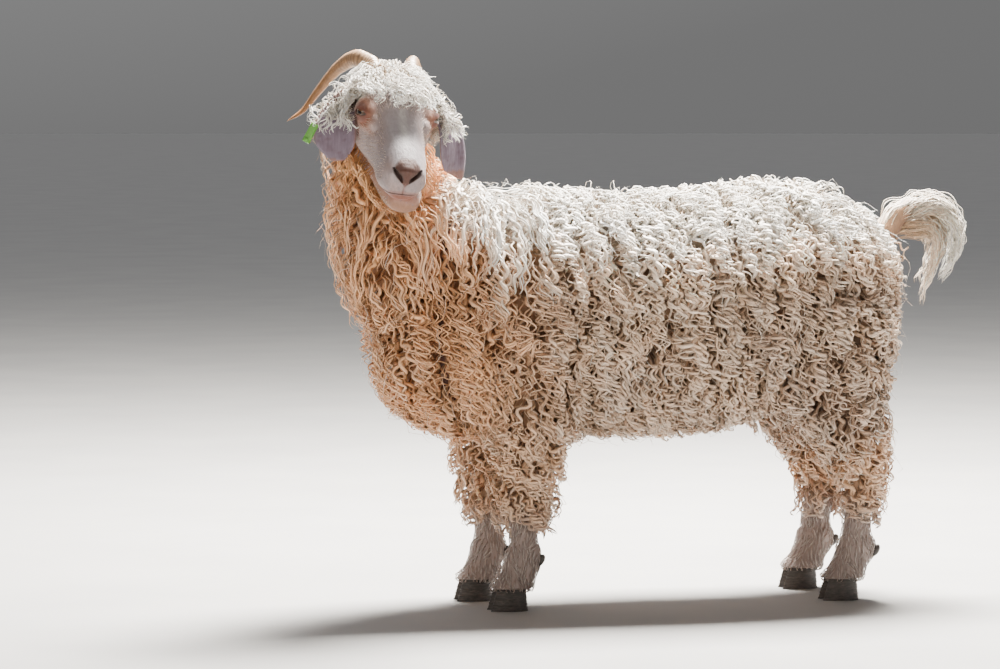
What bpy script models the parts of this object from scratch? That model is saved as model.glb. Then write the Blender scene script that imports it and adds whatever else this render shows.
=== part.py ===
"""A life-size angora goat, standing with the head turned to its left, as named solids.

Metres, +Z up. The body faces -X, so the goat's left side is towards -Y. The goat stands on
the floor at z = 0, and the origin is under the middle of its bounding box.
"""

import math
import random

import bmesh
import bpy
import numpy as np
from mathutils import Matrix, Vector

# Driving sizes
GAP = 0.0003
SLIVERS = (0.00008, 0.00004, 0.00002, 0.00001)
CORE_SHARE = 0.5
LEFT, RIGHT = -1, 1
SIDES = (("left", LEFT), ("right", RIGHT))

# The trunk from chest to rump: x, top of the skin, bottom of the skin, half width, coat depth
TRUNK = (
    (-0.425, 0.545, 0.365, 0.068, 0.058),
    (-0.370, 0.600, 0.332, 0.098, 0.058),
    (-0.280, 0.660, 0.320, 0.118, 0.052),
    (-0.150, 0.655, 0.322, 0.132, 0.050),
    (0.000, 0.650, 0.322, 0.142, 0.050),
    (0.120, 0.662, 0.335, 0.142, 0.050),
    (0.220, 0.672, 0.365, 0.130, 0.048),
    (0.300, 0.655, 0.400, 0.118, 0.045),
    (0.345, 0.622, 0.430, 0.092, 0.043),
)
TRUNK_DOMES = (0.022, 0.045)
# The neck from the shoulders to the nape: x, y, z, skin in front, skin behind, half width, coat depth
NECK = (
    (-0.245, 0.000, 0.500, 0.130, 0.100, 0.090, 0.055),
    (-0.315, 0.000, 0.545, 0.130, 0.090, 0.095, 0.062),
    (-0.385, 0.000, 0.600, 0.128, 0.078, 0.090, 0.070),
    (-0.430, 0.000, 0.660, 0.092, 0.062, 0.080, 0.066),
    (-0.455, -0.004, 0.715, 0.076, 0.056, 0.070, 0.060),
    (-0.468, -0.004, 0.765, 0.074, 0.060, 0.056, 0.052),
    (-0.474, 0.004, 0.812, 0.080, 0.080, 0.046, 0.046),
)
NAPE_COAT_SHARE = 0.72
NAPE_DOME = 0.045
# A foreleg down to the coronet: x from the cannon, y, z, half length, half width, coat depth
FORELEG = (
    (-0.005, 0.078, 0.430, 0.078, 0.046, 0.045),
    (0.012, 0.080, 0.360, 0.056, 0.042, 0.045),
    (0.004, 0.077, 0.285, 0.037, 0.033, 0.044),
    (0.000, 0.074, 0.225, 0.028, 0.028, 0.036),
    (0.000, 0.072, 0.190, 0.026, 0.026, 0.022),
    (0.000, 0.071, 0.160, 0.021, 0.021, 0.011),
    (0.000, 0.070, 0.120, 0.0165, 0.0165, 0.009),
    (-0.001, 0.070, 0.085, 0.021, 0.020, 0.009),
    (-0.010, 0.070, 0.058, 0.021, 0.020, 0.009),
    (-0.021, 0.070, 0.037, 0.029, 0.024, 0.007),
)
# A hind leg in the same terms
HINDLEG = (
    (-0.085, 0.066, 0.530, 0.104, 0.050, 0.042),
    (-0.070, 0.086, 0.450, 0.100, 0.054, 0.043),
    (-0.068, 0.090, 0.375, 0.080, 0.048, 0.043),
    (-0.036, 0.088, 0.305, 0.052, 0.037, 0.038),
    (0.000, 0.084, 0.240, 0.034, 0.026, 0.024),
    (0.002, 0.082, 0.185, 0.021, 0.019, 0.013),
    (-0.004, 0.080, 0.125, 0.0175, 0.017, 0.009),
    (-0.008, 0.080, 0.085, 0.021, 0.020, 0.009),
    (-0.019, 0.080, 0.058, 0.021, 0.020, 0.009),
    (-0.030, 0.080, 0.037, 0.029, 0.024, 0.007),
)
CANNON_X = {"fore_left": -0.253, "fore_right": -0.275, "hind_left": 0.332, "hind_right": 0.316}
SOLE_Z = 0.037

# The head's own axes: a along the face to the nose, b to the goat's left, c up from the brow
BROW = Vector((-0.481, -0.132, 0.815))
BROW_LOCAL = Vector((0.085, 0.0, 0.020))
HEAD_SIZE = 1.05
HEAD_HEADING = math.radians(-88)
FACE_PITCH = math.radians(34)
HEAD_ROLL = math.radians(-6)
# Skull and upper jaw from poll to nose: a, top, bottom, half width
SKULL = (
    (-0.018, 0.018, -0.020, 0.024),
    (0.000, 0.043, -0.040, 0.043),
    (0.030, 0.057, -0.058, 0.054),
    (0.060, 0.059, -0.064, 0.060),
    (0.085, 0.050, -0.062, 0.059),
    (0.115, 0.036, -0.058, 0.048),
    (0.145, 0.027, -0.054, 0.041),
    (0.175, 0.021, -0.052, 0.037),
    (0.196, 0.014, -0.051, 0.033),
    (0.206, 0.007, -0.048, 0.027),
)
# Lower jaw from its angle to the chin, in the same terms, with its swing to the left in chewing
JAW = (
    (0.018, -0.030, -0.086, 0.036, 0.000),
    (0.045, -0.028, -0.094, 0.044, 0.000),
    (0.080, -0.030, -0.090, 0.039, 0.001),
    (0.115, -0.036, -0.086, 0.032, 0.003),
    (0.150, -0.040, -0.087, 0.028, 0.006),
    (0.180, -0.044, -0.090, 0.026, 0.008),
    (0.195, -0.051, -0.082, 0.019, 0.009),
)
# The ridge of bone over each eye, and the eye under it
ORBIT = (0.076, 0.047, 0.025)
EYE = (0.085, 0.0505, 0.022)
EYE_RADIUS = 0.0148
EYE_OUT = (0.46, 0.86, 0.20)
EYE_OPEN = (0.0130, 0.0076, 0.0062)
LID_THICK = 0.0026

# An ear hangs from its root in world directions: share of length, out, forward, down, half width
EAR_ROOT = (0.026, 0.046, 0.018)
EAR = (
    (0.00, -0.006, 0.000, -0.002, 0.012),
    (0.10, 0.012, 0.000, -0.002, 0.014),
    (0.25, 0.030, 0.008, 0.018, 0.021),
    (0.50, 0.044, 0.014, 0.052, 0.033),
    (0.75, 0.049, 0.016, 0.082, 0.037),
    (1.00, 0.050, 0.014, 0.108, 0.033),
)
EAR_THICK = 0.0042
EAR_CUP = 0.30
EAR_OUTER_DROP = 0.012
EAR_SWEEP = 0.50
TAG_SIDE = RIGHT
TAG_SIZE = (0.013, 0.0075, 0.034)
TAG_SHARE = 0.66
TAG_PROUD = 0.0022

# A horn from its base in world directions: out, back, up, radius
HORN_ROOT = (0.010, 0.029, 0.049)
HORN = (
    (-0.004, -0.012, -0.014, 0.0155),
    (0.000, 0.000, 0.000, 0.0160),
    (0.004, 0.018, 0.012, 0.0158),
    (0.018, 0.056, 0.021, 0.0142),
    (0.034, 0.088, 0.008, 0.0122),
    (0.050, 0.110, -0.014, 0.0098),
    (0.069, 0.124, -0.043, 0.0074),
    (0.089, 0.132, -0.072, 0.0050),
    (0.115, 0.136, -0.092, 0.0018),
)
HORN_FLAT = 0.80
HORN_RIDGES = 13
HORN_RIDGE = 0.05

# The tail's bone: x, z, radius; its hair hangs from the far end
TAIL = (
    (0.366, 0.566, 0.022),
    (0.392, 0.600, 0.023),
    (0.418, 0.634, 0.021),
    (0.446, 0.660, 0.017),
    (0.470, 0.668, 0.010),
)
TAIL_LOCKS = 9

# The fleece: clumps of curls, spread this far apart on a core that reaches half way out
COAT_SEED = 7
CLUMP_SPACING = 0.074
CLUMP_LENGTH = 0.115
CLUMP_WIDTH = 0.038
CLUMP_THICK = 0.0165
BODY_FACES = 6000
TAIL_FACES = 900
WOOL_FLOOR = 0.165
CROWN_LOCKS = 9

# One claw of a cloven hoof, and a dewclaw
CLAW_LENGTH = 0.062
CLAW_WIDTH = 0.0245
CLAW_GAP = 0.004
DEWCLAW_RADIUS = 0.0085
DEWCLAW_Z = 0.082

# Where the body is parted, as outlines in x and z seen from the goat's right
FORELEG_CUT = ((-0.385, -0.03), (-0.165, -0.03), (-0.150, 0.30), (-0.165, 0.425), (-0.352, 0.385))
HINDLEG_CUT = ((0.160, -0.03), (0.520, -0.03), (0.520, 0.520), (0.100, 0.430), (0.100, 0.250))
NECK_CUT = ((-0.215, 0.725), (-0.100, 1.100), (-0.800, 1.100), (-0.800, 0.265))
LEG_CUT_INNER = 0.028

WOOL = (0.82, 0.74, 0.61)
FACE_HAIR = (0.84, 0.79, 0.73)
HOOF_HORN = (0.10, 0.075, 0.06)
COLLECTION = "angora_goat"


def clear_scene():
    for obj in list(bpy.data.objects):
        bpy.data.objects.remove(obj, do_unlink=True)


def material(name, colour, roughness, metallic=0.0):
    made = bpy.data.materials.new(name)
    made.use_nodes = True
    shader = made.node_tree.nodes["Principled BSDF"]
    shader.inputs["Base Color"].default_value = (*colour, 1.0)
    shader.inputs["Roughness"].default_value = roughness
    shader.inputs["Metallic"].default_value = metallic
    return made


def spaced(stations, count):
    """Count stations on a smooth curve through the given ones, evenly along their numbering."""
    table = np.array(stations, float)
    padded = np.vstack([2 * table[0] - table[1], table, 2 * table[-1] - table[-2]])
    made = []
    for place in np.linspace(0, len(table) - 1, count):
        k = min(int(place), len(table) - 2)
        t = place - k
        p0, p1, p2, p3 = padded[k : k + 4]
        made.append(
            0.5
            * (
                2 * p1
                + (p2 - p0) * t
                + (2 * p0 - 5 * p1 + 4 * p2 - p3) * t**2
                + (3 * p1 - p0 - 3 * p2 + p3) * t**3
            )
        )
    return made


def new_object(name, mesh):
    obj = bpy.data.objects.new(name, mesh)
    bpy.context.scene.collection.objects.link(obj)
    return obj


def thin_out(obj, faces):
    """Takes away the slivers that a union leaves, down to about this many triangles."""
    have = sum(len(p.vertices) - 2 for p in obj.data.polygons)
    if have > faces:
        step = obj.modifiers.new("thin", "DECIMATE")
        step.ratio = faces / have
        step.use_collapse_triangulate = True
        bake(obj)
    return obj


def volume_of(faces):
    """The volume inside a closed set of faces, below zero when they face inwards."""
    return sum(
        f.verts[0].co.dot(f.verts[k].co.cross(f.verts[k + 1].co)) / 6
        for f in faces
        for k in range(1, len(f.verts) - 1)
    )


def cap(bm, ring):
    """Closes a thin, bent section by a strip of faces from its front to its back."""
    count = len(ring)
    for k in range(count // 2 - 1):
        bm.faces.new((ring[k], ring[k + 1], ring[count - 2 - k], ring[count - 1 - k]))


def loft(name, rings, pointed=False, thin=False):
    """A closed body through rings of equally many points. A pointed one ends in the last ring's middle."""
    bm = bmesh.new()
    rows = [[bm.verts.new(p) for p in ring] for ring in rings]
    count = len(rows[0])
    for low, high in zip(rows, rows[1:]):
        for k in range(count):
            n = (k + 1) % count
            bm.faces.new((low[k], low[n], high[n], high[k]))
    if thin:
        cap(bm, rows[0][::-1])
    else:
        bm.faces.new(rows[0][::-1])
    if pointed:
        tip = bm.verts.new(sum((Vector(p) for p in rings[-1]), Vector()) / count)
        for k in range(count):
            bm.faces.new((rows[-1][k], rows[-1][(k + 1) % count], tip))
    elif thin:
        cap(bm, rows[-1])
    else:
        bm.faces.new(rows[-1])
    # The same diagonals in a body and in its cutter, so that one stays inside the other
    bmesh.ops.triangulate(bm, faces=bm.faces, quad_method="FIXED")
    if volume_of(bm.faces) < 0:
        bmesh.ops.reverse_faces(bm, faces=bm.faces)
    mesh = bpy.data.meshes.new(name)
    bm.to_mesh(mesh)
    bm.free()
    return new_object(name, mesh)


def oval(centre, right, up, half_right, half_up, half_down, sides, fullness=1.0, start=0.0):
    """A ring round centre. Fullness under 1 squares the oval a little."""
    ring = []
    for k in range(sides):
        angle = 2 * math.pi * k / sides + start
        c, s = math.cos(angle), math.sin(angle)
        reach = half_up if s > 0 else half_down
        across = math.copysign(abs(c) ** fullness, c) * half_right
        along = math.copysign(abs(s) ** fullness, s) * reach
        ring.append(Vector(centre) + Vector(right) * across + Vector(up) * along)
    return ring


def domed(rings, first, last):
    """Rounds off both ends of a body, each by a dome of the given depth."""
    def dome(ring, inner, depth):
        middle = sum(ring, Vector()) / len(ring)
        away = (middle - sum(inner, Vector()) / len(inner)).normalized()
        made = []
        for angle in (35, 65, 82):
            turn = math.radians(angle)
            shift = away * depth * math.sin(turn)
            made.append([middle + (p - middle) * math.cos(turn) + shift for p in ring])
        return made

    front = dome(rings[0], rings[1], first) if first else []
    back = dome(rings[-1], rings[-2], last) if last else []
    return front[::-1] + rings + back


def trunk_body(coat_share, rings=9, sides=14):
    made = []
    for x, top, bottom, half, coat in spaced(TRUNK, rings):
        middle = bottom + (top - bottom) * 0.47
        extra = coat * coat_share
        made.append(
            oval((x, 0, middle), (0, 1, 0), (0, 0, 1), half + extra, top - middle + extra,
                 middle - bottom + extra, sides, 0.92)
        )
    return loft("trunk", domed(made, TRUNK_DOMES[0] + TRUNK[0][4] * coat_share,
                               TRUNK_DOMES[1] + TRUNK[-1][4] * coat_share))


def neck_body(coat_share, rings=8, sides=14):
    stations = spaced(NECK, rings)
    made = []
    for k, (x, y, z, front, back, half, coat) in enumerate(stations):
        before = Vector(stations[max(k - 1, 0)][:3])
        after = Vector(stations[min(k + 1, rings - 1)][:3])
        along = (after - before).normalized()
        side = Vector((0, 1, 0))
        side = (side - along * side.dot(along)).normalized()
        ahead = side.cross(along)
        ahead = ahead if ahead.x < 0 else -ahead
        made.append(
            oval((x, y, z), side, ahead, half + coat * coat_share, front + coat * coat_share,
                 back + coat * coat_share * NAPE_COAT_SHARE, sides)
        )
    return loft("neck", domed(made, 0, NAPE_DOME + NECK[-1][6] * coat_share))


def leg_body(kind, coat_share, side, rings=14, sides=10):
    table = FORELEG if kind.startswith("fore") else HINDLEG
    made = []
    for x, y, z, long, wide, coat in spaced(table, rings):
        extra = coat * coat_share
        # Short hair under the wool stays as it is, since it has no core
        extra = max(extra, coat * 0.9) if z < 0.17 else extra
        centre = (CANNON_X[kind] + x, side * y, z)
        made.append(
            oval(centre, (1, 0, 0), (0, 1, 0), long + extra, wide + extra, wide + extra, sides)
        )
    return loft("leg", made)


def head_matrix():
    heading = Matrix.Rotation(HEAD_HEADING, 3, "Z")
    forward = heading @ Vector((1, 0, 0))
    turn = Matrix.Rotation(HEAD_ROLL, 3, forward) @ heading @ Matrix.Rotation(FACE_PITCH, 3, "Y")
    made = turn.to_4x4() @ Matrix.Scale(HEAD_SIZE, 4)
    made.translation = BROW - turn @ BROW_LOCAL * HEAD_SIZE
    return made


HEAD = head_matrix()
HEAD_FORWARD = Matrix.Rotation(HEAD_HEADING, 3, "Z") @ Vector((1, 0, 0))
HEAD_LEFT = (HEAD.to_3x3() @ Vector((0, 1, 0))).normalized()


def head_point(a, b, c):
    return HEAD @ Vector((a, b, c))


def mirrored(local, side):
    """The head's b axis points to its left, so a right-hand point has b turned round."""
    a, b, c = local
    return (a, -b * side, c)


def face_loft(name, stations, rings, sides, grow, fullness):
    made = []
    for a, top, bottom, half, *swing in spaced(stations, rings):
        middle = (top + bottom) / 2
        across = swing[0] if swing else 0
        made.append(
            oval((a, across, middle), (0, 1, 0), (0, 0, 1), half + grow, top - middle + grow,
                 middle - bottom + grow, sides, fullness)
        )
    obj = loft(name, domed(made, 0.012 + grow, 0.007 + grow))
    obj.data.transform(HEAD)
    return obj


def skull_body(grow=0.0):
    return face_loft("skull", SKULL, 15, 16, grow, 0.86)


def jaw_body(grow=0.0):
    return face_loft("jaw", JAW, 9, 14, grow, 0.9)


def ball(name, centre, radii, turn=None, segments=16, rings=10):
    bm = bmesh.new()
    bmesh.ops.create_uvsphere(bm, u_segments=segments, v_segments=rings, radius=1.0)
    mesh = bpy.data.meshes.new(name)
    bm.to_mesh(mesh)
    bm.free()
    place = Matrix.Translation(centre) @ (turn or Matrix.Identity(4)) @ Matrix.Diagonal((*radii, 1))
    mesh.transform(place)
    return new_object(name, mesh)


def eye_frame(side):
    """The place of an eyeball, and its outward, forward and upward directions, in the world."""
    centre = head_point(*mirrored(EYE, side))
    turn = HEAD.to_3x3()
    out = (turn @ Vector(mirrored(EYE_OUT, side))).normalized()
    # The slit of the eye lies nearly level, not along the face
    ahead = HEAD_FORWARD * 0.9 + turn.normalized() @ Vector((0.5, 0, 0))
    ahead = (ahead - out * ahead.dot(out)).normalized()
    up = out.cross(ahead)
    up = up if up.z > 0 else -up
    return centre, out, ahead, up


def eyeball(side, grow=0.0):
    centre = eye_frame(side)[0]
    return ball("eye", centre, (EYE_RADIUS + grow,) * 3, segments=12, rings=8)


def eye_socket(side):
    """The lids as one ball round the eye, and the bone above it, both to be joined to the skull."""
    centre = eye_frame(side)[0]
    size = EYE_RADIUS + LID_THICK
    ridge = head_point(*mirrored(ORBIT, side))
    return [
        ball("lids", centre, (size,) * 3, segments=14, rings=10),
        ball("ridge", ridge, (0.026, 0.015, 0.013), HEAD.to_3x3().normalized().to_4x4(), 12, 8),
    ]


def eye_opening(side):
    """The almond between the lids, cut outwards from inside the eyeball."""
    centre, out, ahead, up = eye_frame(side)
    long, high, low = EYE_OPEN
    rings = []
    for depth, size in ((0.004, 0.8), (EYE_RADIUS + 0.012, 1.25)):
        ring = []
        for k in range(12):
            turn = 2 * math.pi * k / 12
            rise = math.sin(turn) * (high if math.sin(turn) > 0 else low) * abs(math.sin(turn)) ** 0.3
            ring.append(centre + out * depth + (ahead * math.cos(turn) * long + up * rise) * size)
        rings.append(ring)
    return loft("opening", rings)


def nostril_cutter(side):
    """A slanting pit beside the nose pad, its wide end up and outwards."""
    place = Matrix.Translation(mirrored((0.205, 0.0140, -0.006), side))
    lean = Matrix.Rotation(math.radians(-48 * side), 4, "X")
    pit = ball("nostril", (0, 0, 0), (0.013, 0.0105, 0.0046), None, 10, 6)
    pit.data.transform(HEAD @ place @ lean)
    return pit


def mouth_cutter():
    """The line of the mouth, a thin groove round the muzzle between the lips."""
    back, front = 0.150, 0.2150
    rings = []
    steps = 13
    for k in range(steps):
        turn = math.pi * (k / (steps - 1) - 0.5)
        a = back + (front - back) * math.cos(turn) ** 0.7
        b = 0.043 * math.sin(turn) * (1 - 0.12 * math.cos(turn)) + 0.004 * math.cos(turn)
        droop = -0.0515 + 0.0060 * abs(math.sin(turn)) ** 2
        outward = HEAD.to_3x3().normalized() @ Vector((math.cos(turn) + 0.15, math.sin(turn), 0)).normalized()
        upward = HEAD.to_3x3().normalized() @ Vector((0, 0, 1))
        rings.append(oval(HEAD @ Vector((a, b, droop)), outward, upward, 0.007, 0.0011, 0.0011, 5))
    return loft("mouth", rings)


def ear_frames(side, count):
    """Stations of an ear: middle, width direction, normal, half width, share of the length."""
    out = HEAD_LEFT * -side
    root = head_point(*mirrored(EAR_ROOT, side))
    stations = spaced(EAR, count)
    centres = [root + out * o + HEAD_FORWARD * f - Vector((0, 0, d)) for _, o, f, d, _ in stations]
    made = []
    for k, (share, _, _, _, half) in enumerate(stations):
        along = (centres[min(k + 1, count - 1)] - centres[max(k - 1, 0)]).normalized()
        across = out * 0.85 - HEAD_FORWARD * EAR_SWEEP
        # At the root the outer edge is the upper one, since the ear leaves the head sideways
        across = across * share + (HEAD_FORWARD * 0.15 + Vector((0, 0, 1))) * max(0, 0.35 - share) * 2
        across = (across - along * across.dot(along)).normalized()
        normal = across.cross(along) * side
        made.append((centres[k], across, normal, half, share))
    return made


def ear_ring(frame, grow, columns=7):
    """One section of an ear, its edges curled forward into a cup, and its far end cut on a slant."""
    middle, across, normal, half, share = frame
    thick = EAR_THICK / 2 + grow * 1.5
    front, back = [], []
    for k in range(columns):
        u = -1 + 2 * k / (columns - 1)
        wide = half + grow * 2 if abs(u) == 1 else half
        curl = EAR_CUP * (1.25 - share * 0.75) * half * (u * wide / half) ** 2
        edge = math.sqrt(max(1 - abs(u) ** 4, 0.12))
        drop = Vector((0, 0, -EAR_OUTER_DROP * max(share - 0.7, 0) / 0.3 * (u + 0.3)))
        spine = middle + across * (u * wide) + normal * curl + drop
        front.append(spine + normal * thick * edge)
        back.append(spine - normal * thick * edge)
    return front + back[::-1]


def ear_blade(side, grow=0.0):
    frames = ear_frames(side, 11)
    rings = [ear_ring(frame, grow) for frame in frames]
    along = (frames[-1][0] - frames[-2][0]).normalized()
    rings[-1] = [p + along * grow for p in rings[-1]]
    start = (frames[1][0] - frames[0][0]).normalized()
    rings[0] = [p - start * grow for p in rings[0]]
    return loft("ear", rings, thin=True)


def tag_body():
    """A plain plastic tag, before it is slotted over the outer edge of its ear."""
    frames = ear_frames(TAG_SIDE, 11)
    step = min(range(1, 10), key=lambda k: abs(frames[k][4] - TAG_SHARE))
    middle, across, normal, half, share = frames[step]
    along = (frames[step + 1][0] - frames[step - 1][0]).normalized()
    curl = EAR_CUP * (1.25 - share * 0.75) * half
    centre = middle + across * (half + TAG_PROUD) + normal * curl
    wide, thick, long = (v / 2 for v in TAG_SIZE)
    rings = []
    for part, size in ((-1.0, 0.82), (-0.93, 1.0), (0.93, 1.0), (1.0, 0.82)):
        rings.append(oval(centre + along * (long * part), across, normal, wide * size, thick * size,
                          thick * size, 12, 0.45))
    return loft("tag", rings)


def horn_body(side, grow=0.0, rings=32, sides=8):
    """A horn that runs back and out and then down, ringed with low ridges."""
    out = HEAD_LEFT * -side
    root = head_point(*mirrored(HORN_ROOT, side))
    stations = spaced(HORN, rings)
    centres = [root + out * o - HEAD_FORWARD * b + Vector((0, 0, u)) for o, b, u, _ in stations]
    made = []
    for k, (_, _, _, radius) in enumerate(stations):
        along = (centres[min(k + 1, rings - 1)] - centres[max(k - 1, 0)]).normalized()
        across = (out - along * out.dot(along)).normalized()
        up = along.cross(across)
        share = k / (rings - 1)
        ridge = 1 + HORN_RIDGE * math.cos(2 * math.pi * HORN_RIDGES * share) * (1 - share)
        size = radius * ridge + grow
        made.append(oval(centres[k], across, up, size * HORN_FLAT, size, size, sides))
    return loft("horn", made, pointed=True)


def tail_body(grow=0.0, rings=9, sides=10):
    stations = spaced(TAIL, rings)
    made = []
    for k, (x, z, radius) in enumerate(stations):
        before, after = stations[max(k - 1, 0)], stations[min(k + 1, rings - 1)]
        along = Vector((after[0] - before[0], 0, after[1] - before[1])).normalized()
        up = Vector((0, 1, 0)).cross(along)
        made.append(oval((x, 0, z), (0, 1, 0), up, radius + grow, radius + grow, radius + grow, sides))
    return loft("tail", made, pointed=True)


def lock(path, widths, thicks, normal, sides=6):
    """A tapered lock along a path, flat across the given normal, with its root end closed."""
    rings = []
    for k, point in enumerate(path):
        along = (path[min(k + 1, len(path) - 1)] - path[max(k - 1, 0)]).normalized()
        across = along.cross(normal).normalized()
        lift = across.cross(along).normalized()
        rings.append(oval(point, across, lift, widths[k], thicks[k], thicks[k], sides, 1.0, math.pi / 2))
    return loft("lock", rings, pointed=True)


def bezier(points, count):
    p0, p1, p2, p3 = points
    made = []
    for k in range(count):
        t = k / (count - 1)
        made.append(p0 * (1 - t) ** 3 + p1 * 3 * t * (1 - t) ** 2 + p2 * 3 * t * t * (1 - t) + p3 * t**3)
    return made


def tail_locks(draw):
    """Long flat locks that rise with the tail, turn over and hang behind it as one plume."""
    stations = spaced(TAIL, 21)
    made = []
    for k in range(TAIL_LOCKS):
        share = 0.42 + 0.50 * k / (TAIL_LOCKS - 1)
        x, z, radius = stations[int(share * 20)]
        side = (k % 3 - 1) * 0.8
        root = Vector((x, side * radius * 0.4, z))
        fall = (0.150, 0.105, 0.175)[k % 3] + draw.uniform(-0.012, 0.012)
        rise = 0.020 + 0.010 * (1 - abs(side))
        top = root + Vector((0.040 + 0.02 * share, side * 0.012, rise + 0.020))
        outer = root + Vector((0.072 + draw.uniform(-0.008, 0.010), side * 0.024, -0.010))
        end = root + Vector((0.036 + draw.uniform(-0.016, 0.014), side * 0.026, rise - fall))
        path = bezier((root, top, outer, end), 6)
        widths = [0.010, 0.015, 0.017, 0.016, 0.012, 0.006]
        thicks = [0.008, 0.009, 0.009, 0.008, 0.006, 0.003]
        made.append(lock(path, widths, thicks, Vector((1, side, 0.4)).normalized(), 5))
    return made


def claw(kind, side, place):
    """One claw of the hoof: flat below, toe forward, its wall leaning back to the coronet."""
    table = FORELEG if kind.startswith("fore") else HINDLEG
    x, y, _, _, _, _ = table[-1]
    middle = Vector((CANNON_X[kind] + x, side * y + place * (CLAW_WIDTH + CLAW_GAP) / 2, 0))
    rings = []
    for share in (0.0, 0.12, 0.55, 1.0):
        z = (SOLE_Z - GAP) * share
        toe = CLAW_LENGTH * (0.60 - 0.17 * share)
        heel = CLAW_LENGTH * (0.40 - 0.05 * share)
        wide = CLAW_WIDTH / 2 * (0.95 if share == 0 else 1.0 - 0.10 * share)
        ring = []
        for k in range(12):
            angle = 2 * math.pi * k / 12
            c, s = math.cos(angle), math.sin(angle)
            reach = toe if c > 0 else heel
            # The toe narrows, and turns a little to the middle
            narrow = 1 - 0.45 * max(c, 0) ** 2
            ring.append(middle + Vector((-c * reach, s * wide * narrow - place * max(c, 0) * 0.0015, z)))
        rings.append(ring)
    return loft("claw", rings)


def dewclaw(kind, side, place, grow=0.0):
    centre = Vector((CANNON_X[kind] + 0.026, side * (0.070 if kind.startswith("fore") else 0.080) + place * 0.011,
                     DEWCLAW_Z))
    lean = Matrix.Rotation(math.radians(35), 4, "Y")
    size = DEWCLAW_RADIUS
    return ball("dewclaw", centre, (size * 0.8 + grow, size * 0.75 + grow, size * 1.35 + grow), lean, 6, 4)


def gather(pieces, label):
    folder = bpy.data.collections.new(label)
    bpy.context.scene.collection.children.link(folder)
    for piece in pieces:
        bpy.context.scene.collection.objects.unlink(piece)
        folder.objects.link(piece)
    return folder


def bake(obj):
    """Makes an object's evaluated mesh its own, with no modifiers left."""
    graph = bpy.context.evaluated_depsgraph_get()
    mesh = bpy.data.meshes.new_from_object(obj.evaluated_get(graph))
    obj.modifiers.clear()
    old = obj.data
    obj.data = mesh
    bpy.data.meshes.remove(old)
    return obj


def combine(base, pieces, operation, solver="MANIFOLD"):
    """One Boolean on a collection of closed pieces, applied, with the pieces then removed."""
    folder = gather(pieces, "cutters")
    step = base.modifiers.new("combine", "BOOLEAN")
    step.operation = operation
    step.operand_type = "COLLECTION"
    step.collection = folder
    step.solver = solver
    bake(base)
    for piece in list(folder.objects):
        bpy.data.objects.remove(piece, do_unlink=True)
    bpy.data.collections.remove(folder)
    return base


def keep_largest(obj):
    """Leaves only the largest closed surface, so that no sealed hollow or loose scrap stays."""
    bm = bmesh.new()
    bm.from_mesh(obj.data)
    left = set(bm.faces)
    groups = []
    while left:
        seed = left.pop()
        group, edge = [seed], [seed]
        while edge:
            for side in edge.pop().edges:
                for face in side.link_faces:
                    if face in left:
                        left.remove(face)
                        group.append(face)
                        edge.append(face)
        groups.append(group)
    groups.sort(key=volume_of, reverse=True)
    spare = [f for group in groups[1:] for f in group]
    bmesh.ops.delete(bm, geom=spare, context="FACES")
    bm.to_mesh(obj.data)
    bm.free()
    return obj


def slab(outline, low_y, high_y, grow=0.0):
    """A block with a convex outline seen from the side, made wider all round by grow."""
    ring = [Vector(p) for p in outline]
    count = len(ring)
    wide = []
    for k in range(count):
        before = (ring[k] - ring[k - 1]).normalized()
        after = (ring[(k + 1) % count] - ring[k]).normalized()
        n1, n2 = Vector((before.y, -before.x)), Vector((after.y, -after.x))
        wide.append(ring[k] + (n1 + n2) * (grow / (1 + n1.dot(n2))))
    rings = [[(p.x, y, p.y) for p in wide] for y in (low_y - grow, high_y + grow)]
    return loft("slab", rings)


def leg_region(kind, side, grow=0.0):
    """The part of the body that counts as one leg: all below a slanted plane, on its own side."""
    outline = FORELEG_CUT if kind.startswith("fore") else HINDLEG_CUT
    low_y, high_y = sorted((side * LEG_CUT_INNER, side * 0.40))
    return slab(outline, low_y, high_y, grow)


def neck_region(grow=0.0):
    """All ahead of a slanted plane through the base of the neck."""
    return slab(NECK_CUT, -0.50, 0.50, grow)


def copy_of(obj):
    made = obj.copy()
    made.data = obj.data.copy()
    bpy.context.scene.collection.objects.link(made)
    return made


def coat_depth(point):
    """How deep the fleece is at a place on the body, from the nearest station."""
    best, depth = 1e9, 0.0
    for x, top, bottom, half, coat in TRUNK:
        far = math.hypot(point.x - x, point.z - (top + bottom) / 2) / (top - bottom)
        if far < best:
            best, depth = far, coat
    for x, y, z, front, back, half, coat in NECK:
        far = math.hypot(point.x - x, point.z - z) / (front + back)
        if far < best:
            best, depth = far, coat
    for kind, start in CANNON_X.items():
        side = LEFT if kind.endswith("left") else RIGHT
        if side * point.y < 0.02:
            continue
        for x, y, z, long, wide, coat in FORELEG if kind.startswith("fore") else HINDLEG:
            far = math.hypot(point.x - start - x, point.z - z) / (2 * long)
            if far < best:
                best, depth = far, coat
    return depth


def surface_points(obj, spacing, allowed, draw, tries=12000):
    """Points spread evenly over a mesh, with its normals there."""
    mesh = obj.data
    mesh.calc_loop_triangles()
    corners = [[mesh.vertices[v].co.copy() for v in t.vertices] for t in mesh.loop_triangles]
    areas = [((b - a).cross(c - a)).length / 2 for a, b, c in corners]
    kept = []
    for k in draw.choices(range(len(corners)), weights=areas, k=tries):
        a, b, c = corners[k]
        r1, r2 = math.sqrt(draw.random()), draw.random()
        point = a * (1 - r1) + b * (r1 * (1 - r2)) + c * (r1 * r2)
        if allowed(point) and all((q - point).length > spacing for q, _ in kept):
            kept.append((point, (b - a).cross(c - a).normalized()))
    return kept


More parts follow.
